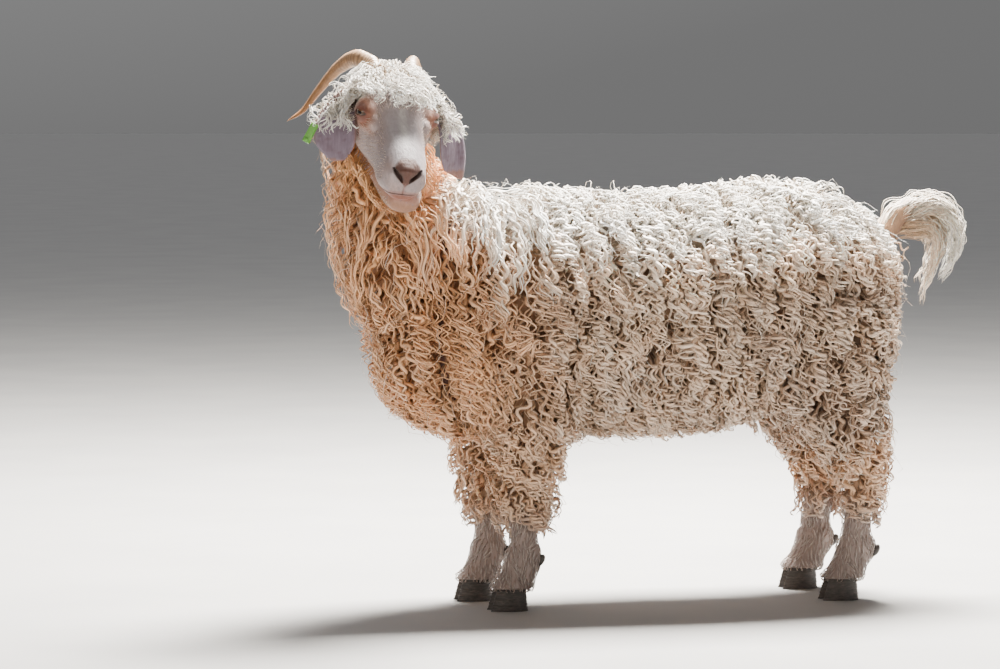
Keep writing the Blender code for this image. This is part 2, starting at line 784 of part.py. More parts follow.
def carries_wool(point):
    """Clumps grow on the whole body, but not low on the legs, under the head or where the legs meet."""
    if point.z < WOOL_FLOOR:
        return False
    if abs(point.y) < 0.03 and point.z < 0.30:
        return False
    local = HEAD.inverted() @ point
    near_face = local.x > -0.025 and abs(local.y) < 0.070 and local.z > -0.105
    at_tail = (point - Vector((0.41, 0, 0.60))).length < 0.045
    return not near_face and not at_tail


def clump(point, normal, draw):
    """One rounded, tapering clump that leaves the core, hangs over the next and turns out at its tip."""
    depth = coat_depth(point) * (1 - CORE_SHARE)
    size = draw.uniform(0.88, 1.12) * (0.62 if point.z < 0.30 and depth < 0.019 else 1.0)
    down = Vector((0.22 if point.x > -0.30 else 0.05, 0, -1))
    if normal.z > 0.5:
        down += Vector((0, math.copysign(0.9, point.y or 1), 0))
    lie = (down - normal * down.dot(normal)).normalized()
    sideways = normal.cross(lie)
    lie = (lie + sideways * draw.uniform(-0.22, 0.22)).normalized()
    sideways = normal.cross(lie)
    bend = draw.uniform(-0.012, 0.012)
    long = CLUMP_LENGTH * size
    thick = min(CLUMP_THICK * size, depth * 0.85)
    # Past the middle the lock also falls away towards the ground where the body curves under
    fall = Vector((0, 0, -1)) * max(0.0, normal.z) * 0.25 * long
    path, widths, thicks = [], [], []
    for share, rise, wide, deep in ((0.0, -0.25, 0.62, 0.8), (0.28, 0.80, 1.0, 1.0), (0.58, 1.0, 0.92, 0.95),
                                    (0.86, 0.95, 0.55, 0.7), (1.0, 1.1, 0.20, 0.35)):
        height = (depth - thick) * min(rise, 1.0) + thick * max(rise - 1.0, 0)
        middle = point + lie * (long * (share - 0.30)) + normal * height + fall * share * share
        path.append(middle + sideways * (bend * math.sin(share * 6.0)))
        widths.append(CLUMP_WIDTH * size * wide)
        thicks.append(thick * deep)
    return lock(path, widths, thicks, normal, 5)


def crown_locks(grow=0.0):
    """The curls on the poll that fall between and round the horns on to the brow."""
    draw = random.Random(COAT_SEED)
    made = []
    for k in range(CROWN_LOCKS):
        row, place = divmod(k, 5)
        b = (place - 2 + (0.5 if row % 2 else 0)) * 0.0215
        a = (-0.020, 0.008, 0.030)[row]
        top = 0.040 + 0.012 * row - 3.5 * b * b
        root = Vector((a, b, top))
        ahead = 0.030 + 0.010 * row + draw.uniform(-0.006, 0.006)
        out = b * 0.55
        path = [
            root + Vector((-0.008, 0, -0.012)),
            root + Vector((ahead * 0.35, out * 0.3, 0.016)),
            root + Vector((ahead * 0.80, out * 0.7, 0.018)),
            root + Vector((ahead * 1.15, out, 0.002)),
        ]
        end = head_point(*(path[-1] - path[-2])) - head_point(0, 0, 0)
        points = [head_point(*p) for p in path]
        points[-1] += end.normalized() * grow
        normal = (HEAD.to_3x3() @ Vector((0.1, b * 4, 1))).normalized()
        widths = [0.012 + grow, 0.0155 + grow, 0.0145 + grow, 0.006 + grow]
        thicks = [0.010 + grow, 0.0115 + grow, 0.0105 + grow, 0.004 + grow]
        made.append(lock(points, widths, thicks, normal, 5))
    return made


def mend(obj):
    """Closes up the slivers that a cut leaves, as far as the surface stays whole."""
    for reach in SLIVERS:
        bm = bmesh.new()
        bm.from_mesh(obj.data)
        bmesh.ops.remove_doubles(bm, verts=bm.verts, dist=reach)
        bmesh.ops.dissolve_degenerate(bm, dist=reach, edges=bm.edges)
        bmesh.ops.triangulate(bm, faces=bm.faces)
        whole = all(len(edge.link_faces) == 2 for edge in bm.edges)
        if whole:
            bm.to_mesh(obj.data)
        bm.free()
        if whole:
            print("mended", obj.name, reach)
            break
    return obj


def finish(obj, name, look, smooth_angle=50):
    mend(obj)
    obj.name = name
    obj.data.name = name
    obj.data.materials.clear()
    obj.data.materials.append(look)
    obj.data.shade_smooth()
    obj.data.set_sharp_from_angle(angle=math.radians(smooth_angle))
    return obj


def build_body(share):
    """Trunk, neck and legs as one closed body, out to the given share of the coat."""
    base = trunk_body(share)
    pieces = [neck_body(share)]
    for kind in CANNON_X:
        side = LEFT if kind.endswith("left") else RIGHT
        pieces.append(leg_body(kind, share, side))
    return combine(base, pieces, "UNION")


def build():
    clear_scene()
    wool = material("wool", WOOL, 0.85)
    face = material("face_hair", FACE_HAIR, 0.75)
    short = material("leg_hair", (0.80, 0.73, 0.66), 0.8)
    ear_skin = material("ear_skin", (0.60, 0.50, 0.52), 0.65)
    horn = material("horn", (0.62, 0.50, 0.37), 0.5)
    hoof = material("hoof", HOOF_HORN, 0.45)
    eye = material("eye", (0.20, 0.12, 0.06), 0.12)
    plastic = material("tag_plastic", (0.16, 0.52, 0.08), 0.4)

    nodes = []
    draw = random.Random(COAT_SEED)
    body = build_body(CORE_SHARE)
    clumps = [clump(p, n, draw) for p, n in surface_points(body, CLUMP_SPACING, carries_wool, draw)]
    print("clumps", len(clumps), "core", len(body.data.polygons))
    combine(body, clumps, "UNION")
    print("body", sum(len(p.vertices) - 2 for p in body.data.polygons))
    keep_largest(body)
    thin_out(body, BODY_FACES)
    cutters = [skull_body(GAP), jaw_body(GAP), tail_body(GAP), *crown_locks(GAP)]
    for _, side in SIDES:
        cutters += [ear_blade(side), ear_blade(side, 2 * GAP), horn_body(side, GAP)]
    combine(body, cutters, "DIFFERENCE")

    for kind in CANNON_X:
        side = LEFT if kind.endswith("left") else RIGHT
        leg = combine(copy_of(body), [leg_region(kind, side)], "INTERSECT")
        claws = [dewclaw(kind, side, place, GAP) for place in (-1, 1)]
        keep_largest(combine(leg, claws, "DIFFERENCE"))
        nodes.append(finish(leg, f"leg_{kind}", short))
        for label, place in (("inner", -side), ("outer", side)):
            nodes.append(finish(claw(kind, side, place), f"hoof_{kind}_{label}", hoof, 40))
            nodes.append(finish(dewclaw(kind, side, place), f"dewclaw_{kind}_{label}", hoof))

    regions = [leg_region(kind, LEFT if kind.endswith("left") else RIGHT, GAP) for kind in CANNON_X]
    combine(body, regions, "DIFFERENCE")
    neck = keep_largest(combine(copy_of(body), [neck_region()], "INTERSECT"))
    torso = keep_largest(combine(body, [neck_region(GAP)], "DIFFERENCE"))
    nodes.append(finish(neck, "neck", wool))
    nodes.append(finish(torso, "torso", wool))

    head = combine(skull_body(), [jaw_body()], "UNION")
    combine(head, [*[piece for _, side in SIDES for piece in eye_socket(side)], *crown_locks()], "UNION")
    cutters = [nostril_cutter(side) for _, side in SIDES] + [mouth_cutter()]
    cutters += [eye_opening(side) for _, side in SIDES]
    for label, side in SIDES:
        cutters += [eyeball(side, GAP), ear_blade(side), ear_blade(side, 2 * GAP), horn_body(side, GAP)]
        nodes.append(finish(eyeball(side), f"eye_{label}", eye))
        ear = ear_blade(side)
        if side == TAG_SIDE:
            tag = keep_largest(combine(tag_body(), [ear_blade(side, GAP)], "DIFFERENCE"))
            nodes.append(finish(tag, "ear_tag", plastic, 40))
        nodes.append(finish(ear, f"ear_{label}", ear_skin))
        nodes.append(finish(horn_body(side), f"horn_{label}", horn))
    combine(head, cutters, "DIFFERENCE")
    nodes.append(finish(keep_largest(head), "head", face))

    tail = combine(tail_body(), tail_locks(draw), "UNION")
    nodes.append(finish(thin_out(keep_largest(tail), TAIL_FACES), "tail", wool))
    goat = bpy.data.collections.new(COLLECTION)
    bpy.context.scene.collection.children.link(goat)
    corners = [v.co for obj in nodes for v in obj.data.vertices]
    low = Vector(min(c[k] for c in corners) for k in range(3))
    high = Vector(max(c[k] for c in corners) for k in range(3))
    shift = Matrix.Translation((-(low.x + high.x) / 2, -(low.y + high.y) / 2, 0))
    for obj in nodes:
        obj.data.transform(shift)
        bpy.context.scene.collection.objects.unlink(obj)
        goat.objects.link(obj)
    for obj in nodes:
        print(obj.name, sum(len(p.vertices) - 2 for p in obj.data.polygons))
    print("triangles", sum(sum(len(p.vertices) - 2 for p in o.data.polygons) for o in nodes))


build()
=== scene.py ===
"""The dressed angora goat: one skin, its curly fleece, and its eyes, horns, hooves and ear tag.

Metres, +Z up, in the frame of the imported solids. The goat faces -X with its head turned to its
left, which is towards -Y.
"""

import math

import bmesh
import bpy
import numpy as np
from mathutils import Matrix, Vector, noise
from mathutils.bvhtree import BVHTree
from mathutils.kdtree import KDTree


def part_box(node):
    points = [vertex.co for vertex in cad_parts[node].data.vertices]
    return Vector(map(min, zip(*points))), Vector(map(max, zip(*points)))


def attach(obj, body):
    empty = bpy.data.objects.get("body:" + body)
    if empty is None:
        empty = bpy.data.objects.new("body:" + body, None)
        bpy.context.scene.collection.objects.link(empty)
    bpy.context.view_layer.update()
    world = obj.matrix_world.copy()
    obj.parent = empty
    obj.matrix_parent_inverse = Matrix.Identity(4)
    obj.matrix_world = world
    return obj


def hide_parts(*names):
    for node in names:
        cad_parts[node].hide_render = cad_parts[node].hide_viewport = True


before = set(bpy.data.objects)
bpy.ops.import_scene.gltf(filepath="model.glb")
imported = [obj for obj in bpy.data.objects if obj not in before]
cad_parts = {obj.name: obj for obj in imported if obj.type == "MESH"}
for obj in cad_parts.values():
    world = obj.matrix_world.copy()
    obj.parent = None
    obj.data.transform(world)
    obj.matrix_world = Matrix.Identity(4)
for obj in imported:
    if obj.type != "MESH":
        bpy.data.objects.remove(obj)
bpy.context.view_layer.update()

# The camera stands 6.4 m off at the height of the goat's horns, a little ahead of its left side,
# and looks slightly down through a long lens. It is placed from the goat's eyes, which the solids give.


def middle_of(node):
    low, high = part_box(node)
    return (low + high) / 2


eyes_middle = (middle_of("eye_left") + middle_of("eye_right")) / 2
lens = bpy.data.cameras.new("camera")
lens.sensor_width = 36
lens.lens = 138.24
camera = bpy.data.objects.new("camera", lens)
bpy.context.scene.collection.objects.link(camera)
camera.location = (eyes_middle.x - 1.4444, eyes_middle.y - 6.0285, 0.858)
azimuth, elevation = math.radians(-15), math.radians(3.64)
away = Vector((math.sin(azimuth) * math.cos(elevation), -math.cos(azimuth) * math.cos(elevation),
               math.sin(elevation)))
camera.rotation_euler = away.to_track_quat("Z", "Y").to_euler()
bpy.context.scene.camera = camera

# The bare body under the fleece: trunk, neck, legs and the bone of the tail, as smooth sections
# run together. It lies inside the solids by the depth of their core, and the coat grows on it.
LEFT, RIGHT = -1, 1
# Trunk: x, top, bottom, half width, coat depth
TRUNK = (
    (-0.425, 0.545, 0.365, 0.068, 0.058),
    (-0.370, 0.600, 0.332, 0.098, 0.058),
    (-0.280, 0.660, 0.320, 0.118, 0.052),
    (-0.150, 0.655, 0.322, 0.132, 0.050),
    (0.000, 0.650, 0.322, 0.142, 0.050),
    (0.120, 0.662, 0.335, 0.142, 0.050),
    (0.220, 0.672, 0.365, 0.130, 0.048),
    (0.300, 0.655, 0.400, 0.118, 0.045),
    (0.345, 0.622, 0.430, 0.092, 0.043),
)
# Neck: x, y, z, skin in front, skin behind, half width, coat depth
NECK = (
    (-0.245, 0.000, 0.500, 0.130, 0.100, 0.090, 0.055),
    (-0.315, 0.000, 0.545, 0.130, 0.090, 0.095, 0.062),
    (-0.385, 0.000, 0.600, 0.128, 0.078, 0.090, 0.070),
    (-0.430, 0.000, 0.660, 0.092, 0.062, 0.080, 0.066),
    (-0.455, -0.004, 0.715, 0.076, 0.056, 0.070, 0.060),
    (-0.468, -0.004, 0.765, 0.074, 0.060, 0.056, 0.052),
    (-0.474, 0.004, 0.812, 0.080, 0.080, 0.046, 0.046),
)
# Legs: x from the cannon bone, y, z, half length, half width, coat depth
FORELEG = (
    (-0.005, 0.078, 0.430, 0.078, 0.046, 0.045),
    (0.012, 0.080, 0.360, 0.056, 0.042, 0.045),
    (0.004, 0.077, 0.285, 0.037, 0.033, 0.044),
    (0.000, 0.074, 0.225, 0.028, 0.028, 0.036),
    (0.000, 0.072, 0.190, 0.026, 0.026, 0.022),
    (0.000, 0.071, 0.160, 0.021, 0.021, 0.011),
    (0.000, 0.070, 0.120, 0.0165, 0.0165, 0.009),
    (-0.001, 0.070, 0.085, 0.021, 0.020, 0.009),
    (-0.010, 0.070, 0.058, 0.021, 0.020, 0.009),
    (-0.021, 0.070, 0.037, 0.029, 0.024, 0.007),
)
HINDLEG = (
    (-0.085, 0.066, 0.530, 0.104, 0.050, 0.042),
    (-0.070, 0.086, 0.450, 0.100, 0.054, 0.043),
    (-0.068, 0.090, 0.375, 0.080, 0.048, 0.043),
    (-0.036, 0.088, 0.305, 0.052, 0.037, 0.038),
    (0.000, 0.084, 0.240, 0.034, 0.026, 0.024),
    (0.002, 0.082, 0.185, 0.021, 0.019, 0.013),
    (-0.004, 0.080, 0.125, 0.0175, 0.017, 0.009),
    (-0.008, 0.080, 0.085, 0.021, 0.020, 0.009),
    (-0.019, 0.080, 0.058, 0.021, 0.020, 0.009),
    (-0.030, 0.080, 0.037, 0.029, 0.024, 0.007),
)
CANNON_X = {"fore_left": -0.253, "fore_right": -0.275, "hind_left": 0.332, "hind_right": 0.316}
# Tail bone: x, z, radius
TAIL = ((0.366, 0.566, 0.022), (0.392, 0.600, 0.023), (0.418, 0.634, 0.021), (0.446, 0.660, 0.017),
        (0.470, 0.668, 0.010))
BODY_VOXEL = 0.0075
WOOL_END = 0.17


def spaced(stations, count):
    """Count stations on a smooth curve through the given ones, evenly along their numbering."""
    table = np.array(stations, float)
    padded = np.vstack([2 * table[0] - table[1], table, 2 * table[-1] - table[-2]])
    place = np.linspace(0, len(table) - 1, count)
    k = np.minimum(place.astype(int), len(table) - 2)
    t = (place - k)[:, None]
    p0, p1, p2, p3 = padded[k], padded[k + 1], padded[k + 2], padded[k + 3]
    return 0.5 * (2 * p1 + (p2 - p0) * t + (2 * p0 - 5 * p1 + 4 * p2 - p3) * t**2
                  + (3 * p1 - p0 - 3 * p2 + p3) * t**3)


def ring(centre, across, up, half, high, low, sides=40, fullness=1.0):
    angle = np.linspace(0, 2 * math.pi, sides, endpoint=False)
    c, s = np.cos(angle), np.sin(angle)
    reach = np.where(s > 0, high, low)
    wide = np.sign(c) * np.abs(c) ** fullness * half
    tall = np.sign(s) * np.abs(s) ** fullness * reach
    return np.array(centre) + np.outer(wide, across) + np.outer(tall, up)


def domed(rings, first, last, steps=(20, 40, 58, 72, 84)):
    """Rounds off both ends of a row of rings, each by a dome of the given depth."""
    def dome(edge, inner, depth):
        middle = edge.mean(0)
        out = middle - inner.mean(0)
        out = out / np.linalg.norm(out)
        return [middle + (edge - middle) * math.cos(math.radians(a)) + out * depth * math.sin(math.radians(a))
                for a in steps]

    front = dome(rings[0], rings[1], first) if first else []
    back = dome(rings[-1], rings[-2], last) if last else []
    return front[::-1] + list(rings) + back


def shell(rings):
    """Points and faces of a closed body through rings of equally many points, facing outwards."""
    rings = np.array([np.array(r) for r in rings])
    rows, sides = rings.shape[:2]
    points = rings.reshape(-1, 3)
    k = np.arange(sides)
    n = (k + 1) % sides
    faces = []
    for row in range(rows - 1):
        low, high = row * sides, (row + 1) * sides
        faces += np.stack([low + k, low + n, high + n, high + k], 1).tolist()
    points = np.vstack([points, rings[0].mean(0), rings[-1].mean(0)])
    first, last = len(points) - 2, len(points) - 1
    faces += np.stack([n, k, np.full(sides, first)], 1).tolist()
    top = (rows - 1) * sides
    faces += np.stack([top + k, top + n, np.full(sides, last)], 1).tolist()
    middle = points.mean(0)
    volume = 0.0
    for face in faces:
        a, b, c = points[face[0]] - middle, points[face[1]] - middle, points[face[-1]] - middle
        volume += a.dot(np.cross(b, c))
        if len(face) == 4:
            d = points[face[2]] - middle
            volume += b.dot(np.cross(d, c))
    if volume < 0:
        faces = [f[::-1] for f in faces]
    return points, faces


def object_from(name, parts):
    """One mesh object that holds several shells as they are."""
    points, faces, start = [], [], 0
    for some_points, some_faces in parts:
        points.append(some_points)
        faces += [[i + start for i in f] for f in some_faces]
        start += len(some_points)
    mesh = bpy.data.meshes.new(name)
    mesh.from_pydata(np.vstack(points).tolist(), [], faces)
    mesh.update()
    obj = bpy.data.objects.new(name, mesh)
    bpy.context.scene.collection.objects.link(obj)
    return obj


def settled(obj):
    """The object with its modifiers worked into its mesh."""
    graph = bpy.context.evaluated_depsgraph_get()
    mesh = bpy.data.meshes.new_from_object(obj.evaluated_get(graph))
    obj.modifiers.clear()
    old, obj.data = obj.data, mesh
    bpy.data.meshes.remove(old)
    return obj


def fused(obj, voxel, rounds):
    """Melts overlapping shells into one surface and softens the joins."""
    melt = obj.modifiers.new("melt", "REMESH")
    melt.mode = "VOXEL"
    melt.voxel_size = voxel
    soften = obj.modifiers.new("soften", "SMOOTH")
    soften.factor = 0.5
    soften.iterations = rounds
    return settled(obj)


def joined(base, others, operation="UNION", solver="MANIFOLD"):
    """Adds closed bodies to another, or cuts them from it, one after another, and removes them."""
    for other in others:
        before = len(base.data.polygons)
        step = base.modifiers.new("join", "BOOLEAN")
        step.operation = operation
        step.object = other
        step.solver = solver
        settled(base)
        if len(base.data.polygons) == before:
            print("no join", base.name, other.name)
        bpy.data.objects.remove(other, do_unlink=True)
    return base


def trunk_rings():
    rings = []
    for x, top, bottom, half, _ in spaced(TRUNK, 33):
        middle = bottom + (top - bottom) * 0.47
        rings.append(ring((x, 0, middle), (0, 1, 0), (0, 0, 1), half, top - middle, middle - bottom,
                          40, 0.92))
    return domed(rings, 0.022, 0.045)


def neck_rings():
    table = spaced(NECK, 25)
    rings = []
    for k, (x, y, z, front, back, half, _) in enumerate(table):
        along = Vector(table[min(k + 1, 24)][:3] - table[max(k - 1, 0)][:3]).normalized()
        side = Vector((0, 1, 0))
        side = (side - along * side.dot(along)).normalized()
        ahead = side.cross(along)
        ahead = ahead if ahead.x < 0 else -ahead
        rings.append(ring((x, y, z), side, ahead, half, front, back))
    return domed(rings, 0, 0.045)


def leg_rings(kind, lowest, highest, sides=28, rows=80):
    """The sections of a leg between two heights. Below the wool they hold half of the short hair."""
    side = LEFT if kind.endswith("left") else RIGHT
    rings = []
    for x, y, z, long, wide, coat in spaced(FORELEG if kind.startswith("fore") else HINDLEG, rows):
        if lowest <= z <= highest:
            extra = coat * (0.85 if z < 0.10 else 0.5) * min(max((WOOL_END + 0.02 - z) / 0.03, 0), 1)
            # The fetlock bulges back to the dewclaws
            heel = max(0.0, 0.027 - x - long - extra) * math.exp(-((z - 0.086) / 0.020) ** 2)
            rings.append(ring((CANNON_X[kind] + x + heel / 2, side * y, z), (1, 0, 0), (0, 1, 0),
                              long + extra + heel / 2, wide + extra, wide + extra, sides))
    return rings


def tail_rings():
    table = spaced(TAIL, 15)
    rings = []
    for k, (x, z, radius) in enumerate(table):
        step = table[min(k + 1, 14)] - table[max(k - 1, 0)]
        along = Vector((step[0], 0, step[1])).normalized()
        rings.append(ring((x, 0, z), (0, 1, 0), Vector((0, 1, 0)).cross(along), radius, radius, radius, 20))
    return rings


body = object_from("body", [shell(trunk_rings()), shell(neck_rings()), shell(tail_rings()),
                            *(shell(leg_rings(kind, 0.20, 1.0)) for kind in CANNON_X)])
fused(body, BODY_VOXEL, 6)
shanks = [object_from("shank", [shell(leg_rings(kind, 0.0, 0.24))]) for kind in CANNON_X]

# The head is bone and short-haired skin: skull, lower jaw, the ridge over each eye and the lids,
# run together and then pressed into shape with the thumb, with nostrils and mouth cut in.
BROW = Vector((-0.481, -0.132, 0.815))
BROW_LOCAL = Vector((0.085, 0.0, 0.020))
HEAD_SIZE = 1.05
HEAD_HEADING, FACE_PITCH, HEAD_ROLL = math.radians(-88), math.radians(34), math.radians(-6)
# Along the face a, half widths and heights in the head's own axes: a, top, bottom, half width
SKULL = (
    (-0.018, 0.018, -0.020, 0.024),
    (0.000, 0.043, -0.040, 0.043),
    (0.030, 0.057, -0.058, 0.054),
    (0.060, 0.059, -0.064, 0.060),
    (0.085, 0.050, -0.062, 0.059),
    (0.115, 0.036, -0.058, 0.048),
    (0.145, 0.027, -0.054, 0.041),
    (0.175, 0.021, -0.052, 0.037),
    (0.196, 0.014, -0.051, 0.033),
    (0.206, 0.007, -0.048, 0.027),
)
# Lower jaw in the same terms, with its swing to the left in chewing
JAW = (
    (0.018, -0.030, -0.086, 0.036, 0.000),
    (0.045, -0.028, -0.092, 0.044, 0.000),
    (0.080, -0.030, -0.087, 0.041, 0.001),
    (0.115, -0.032, -0.082, 0.037, 0.003),
    (0.150, -0.034, -0.081, 0.034, 0.006),
    (0.180, -0.036, -0.082, 0.031, 0.009),
    (0.200, -0.042, -0.077, 0.024, 0.010),
)
EYE = (0.085, 0.0505, 0.022)
EYE_RADIUS = 0.0148
EYE_OUT = (0.38, 0.90, 0.20)
EYE_OPEN = (0.0142, 0.0056, 0.0048)
LID_THICK = 0.0024
# Bone and flesh around each eye, which the ball of the lids sinks into: middle and radii
AROUND_EYE = (
    ((0.078, 0.047, 0.028), (0.026, 0.016, 0.013)),
    ((0.086, 0.046, 0.005), (0.026, 0.013, 0.012)),
    ((0.104, 0.039, 0.018), (0.018, 0.013, 0.014)),
    ((0.066, 0.052, 0.014), (0.016, 0.012, 0.018)),
)
HEAD_VOXEL = 0.0022
# Where the thumb presses: middle, reach and push, all in the head's own axes, on both sides alike
PRESSES = (
    ((0.135, 0.020, 0.030), (0.050, 0.013, 0.014), (0.000, 0.0020, 0.0022)),
    ((0.132, 0.046, -0.016), (0.030, 0.020, 0.022), (0.000, -0.0042, 0.0000)),
    ((0.112, 0.044, 0.006), (0.014, 0.014, 0.014), (0.000, -0.0024, -0.0010)),
    ((0.184, 0.034, -0.030), (0.022, 0.016, 0.014), (0.0010, 0.0042, 0.0000)),
    ((0.208, 0.000, 0.006), (0.012, 0.016, 0.010), (0.0035, 0.0000, 0.0016)),
    ((0.203, 0.021, -0.003), (0.009, 0.006, 0.008), (0.0022, 0.0032, 0.0010)),
    ((0.213, 0.000, -0.028), (0.010, 0.0020, 0.009), (-0.0026, 0.0000, 0.0000)),
    ((0.208, 0.000, -0.045), (0.012, 0.016, 0.005), (0.0026, 0.0000, 0.0000)),
    ((0.198, 0.008, -0.062), (0.012, 0.018, 0.008), (0.0012, 0.0000, 0.0000)),
    ((0.086, 0.060, 0.034), (0.020, 0.010, 0.006), (0.000, 0.0016, -0.0010)),
)


def head_matrix():
    heading = Matrix.Rotation(HEAD_HEADING, 3, "Z")
    forward = heading @ Vector((1, 0, 0))
    turn = Matrix.Rotation(HEAD_ROLL, 3, forward) @ heading @ Matrix.Rotation(FACE_PITCH, 3, "Y")
    made = turn.to_4x4() @ Matrix.Scale(HEAD_SIZE, 4)
    made.translation = BROW - turn @ BROW_LOCAL * HEAD_SIZE
    return made


HEAD = head_matrix()
HEAD_TURN = HEAD.to_3x3().normalized()
HEAD_FORWARD = Matrix.Rotation(HEAD_HEADING, 3, "Z") @ Vector((1, 0, 0))
HEAD_LEFT = (HEAD_TURN @ Vector((0, 1, 0))).normalized()


def into_world(points):
    return np.array(points) @ np.array(HEAD.to_3x3()).T + np.array(HEAD.translation)


def into_head(points):
    back = HEAD.inverted()
    return np.array(points) @ np.array(back.to_3x3()).T + np.array(back.translation)


def on_side(local, side):
    """The head's b axis points to its left, so a right-hand point has b turned round."""
    a, b, c = local
    return (a, -b * side, c)


def face_shell(table, rows, fullness):
    rings = []
    for a, top, bottom, half, *swing in spaced(table, rows):
        middle = (top + bottom) / 2
        rings.append(ring((a, swing[0] if swing else 0, middle), (0, 1, 0), (0, 0, 1), half,
                          top - middle, middle - bottom, 48, fullness))
    points, faces = shell(domed(rings, 0.012, 0.007))
    return into_world(points), faces


def ball(centre, radii, turn=None, rows=14, sides=24):
    """A rounded lump: centre and turn in the world, radii along its own axes."""
    rings = []
    for k in range(1, rows):
        angle = math.pi * k / rows
        rings.append(ring((0, 0, math.cos(angle)), (1, 0, 0), (0, 1, 0), *[math.sin(angle)] * 3, sides))
    points, faces = shell([np.vstack([r]) for r in rings])
    points[-2], points[-1] = (0, 0, 1), (0, 0, -1)
    matrix = np.array(turn if turn is not None else Matrix.Identity(3)) @ np.diag(radii)
    return points @ matrix.T + np.array(centre), faces


def eye_axes(side):
    """An eyeball's middle and its outward, forward and upward directions."""
    centre = HEAD @ Vector(on_side(EYE, side))
    out = (HEAD_TURN @ Vector(on_side(EYE_OUT, side))).normalized()
    ahead = HEAD_FORWARD * 0.9 + HEAD_TURN @ Vector((0.5, 0, 0))
    ahead = (ahead - out * ahead.dot(out)).normalized()
    up = out.cross(ahead)
    return centre, out, ahead, up if up.z > 0 else -up


def eye_gap(side):
    """The almond between the lids, as a body that cuts from inside the eyeball outwards."""
    centre, out, ahead, up = eye_axes(side)
    long, high, low = EYE_OPEN
    rings = []
    for depth, size in ((0.004, 0.85), (0.010, 0.95), (EYE_RADIUS + 0.010, 1.12)):
        angle = np.linspace(0, 2 * math.pi, 36, endpoint=False)
        lift = np.sin(angle) * np.where(np.sin(angle) > 0, high, low) * np.abs(np.sin(angle)) ** 0.3
        rings.append(np.array(centre + out * depth)
                     + (np.outer(np.cos(angle) * long, ahead) + np.outer(lift, up)) * size)
    return shell(rings)


def on_surface(tree, local):
    """The nearest place on a surface to a place in the head's axes, and the surface's direction there."""
    spot, normal, _, _ = tree.find_nearest(HEAD @ Vector(local))
    return spot, normal


def nostril(side, tree):
    """A comma-shaped opening that runs from low beside the septum upwards and outwards."""
    path = ((0.214, 0.0060, -0.0150, 0.0022), (0.214, 0.0085, -0.0095, 0.0044),
            (0.212, 0.0130, -0.0045, 0.0052), (0.207, 0.0180, 0.0000, 0.0044),
            (0.201, 0.0222, 0.0032, 0.0020))
    table = spaced(path, 13)
    places = [on_surface(tree, on_side(row[:3], side)) for row in table]
    rings = []
    for k, (spot, normal) in enumerate(places):
        step = (places[min(k + 1, 12)][0] - places[max(k - 1, 0)][0]).normalized()
        deep = (normal * 0.8 + HEAD_TURN @ Vector((0.5, 0, 0))).normalized()
        across = step.cross(deep).normalized()
        rings.append(ring(spot, across, deep, table[k][3] * 0.78, 0.004, 0.010, 16))
    return shell(rings)


def mouth(tree):
    """The line between the lips, a thin groove round the muzzle that dips a little towards its ends."""
    rings = []
    for turn in np.radians(np.linspace(-78, 78, 49)):
        level = -0.0365 - 0.0060 * math.sin(turn) ** 2 + 0.003 * math.sin(turn) ** 8
        start = HEAD @ Vector((0.150, 0.002, level))
        out = (HEAD_TURN @ Vector((math.cos(turn), math.sin(turn), 0))).normalized()
        spot = tree.ray_cast(start, out)[0]
        deep = 0.0055 * math.cos(turn) ** 0.35
        rings.append(ring(spot, out, HEAD_TURN @ Vector((0, 0, 1)), deep, 0.0009, 0.0009, 8))
    return shell(rings)


head_parts = [face_shell(SKULL, 40, 0.86), face_shell(JAW, 26, 0.9)]
for side in (LEFT, RIGHT):
    socket = eye_axes(side)[0]
    head_parts.append(ball(socket, [EYE_RADIUS + LID_THICK] * 3))
    for middle, radii in AROUND_EYE:
        head_parts.append(ball(HEAD @ Vector(on_side(middle, side)), radii, HEAD_TURN))
head = object_from("head", head_parts)
fused(head, HEAD_VOXEL, 4)

spots = into_head([v.co[:] for v in head.data.vertices])
work = bmesh.new()
work.from_mesh(head.data)
near_eye = np.minimum(*[np.linalg.norm(spots - np.array(on_side(EYE, side)), axis=1)
                        for side in (LEFT, RIGHT)])
fine = (spots[:, 0] > 0.168) | (near_eye < 0.024)
edges = [e for e in work.edges if fine[e.verts[0].index] and fine[e.verts[1].index]]
bmesh.ops.subdivide_edges(work, edges=edges, cuts=1, use_grid_fill=True, smooth=0.6)
bmesh.ops.triangulate(work, faces=work.faces)
work.to_mesh(head.data)
work.free()
spots = into_head([v.co[:] for v in head.data.vertices])
for middle, reach, push in PRESSES:
    for turned in ((1, -1) if middle[1] else (1,)):
        centre = np.array(middle) * (1, turned, 1)
        weight = np.exp(-(((spots - centre) / np.array(reach)) ** 2).sum(1))
        spots += weight[:, None] * np.array(push) * (1, turned, 1)


def soft_step(value, low, high):
    t = np.clip((np.asarray(value, float) - low) / (high - low), 0, 1)
    return t * t * (3 - 2 * t)


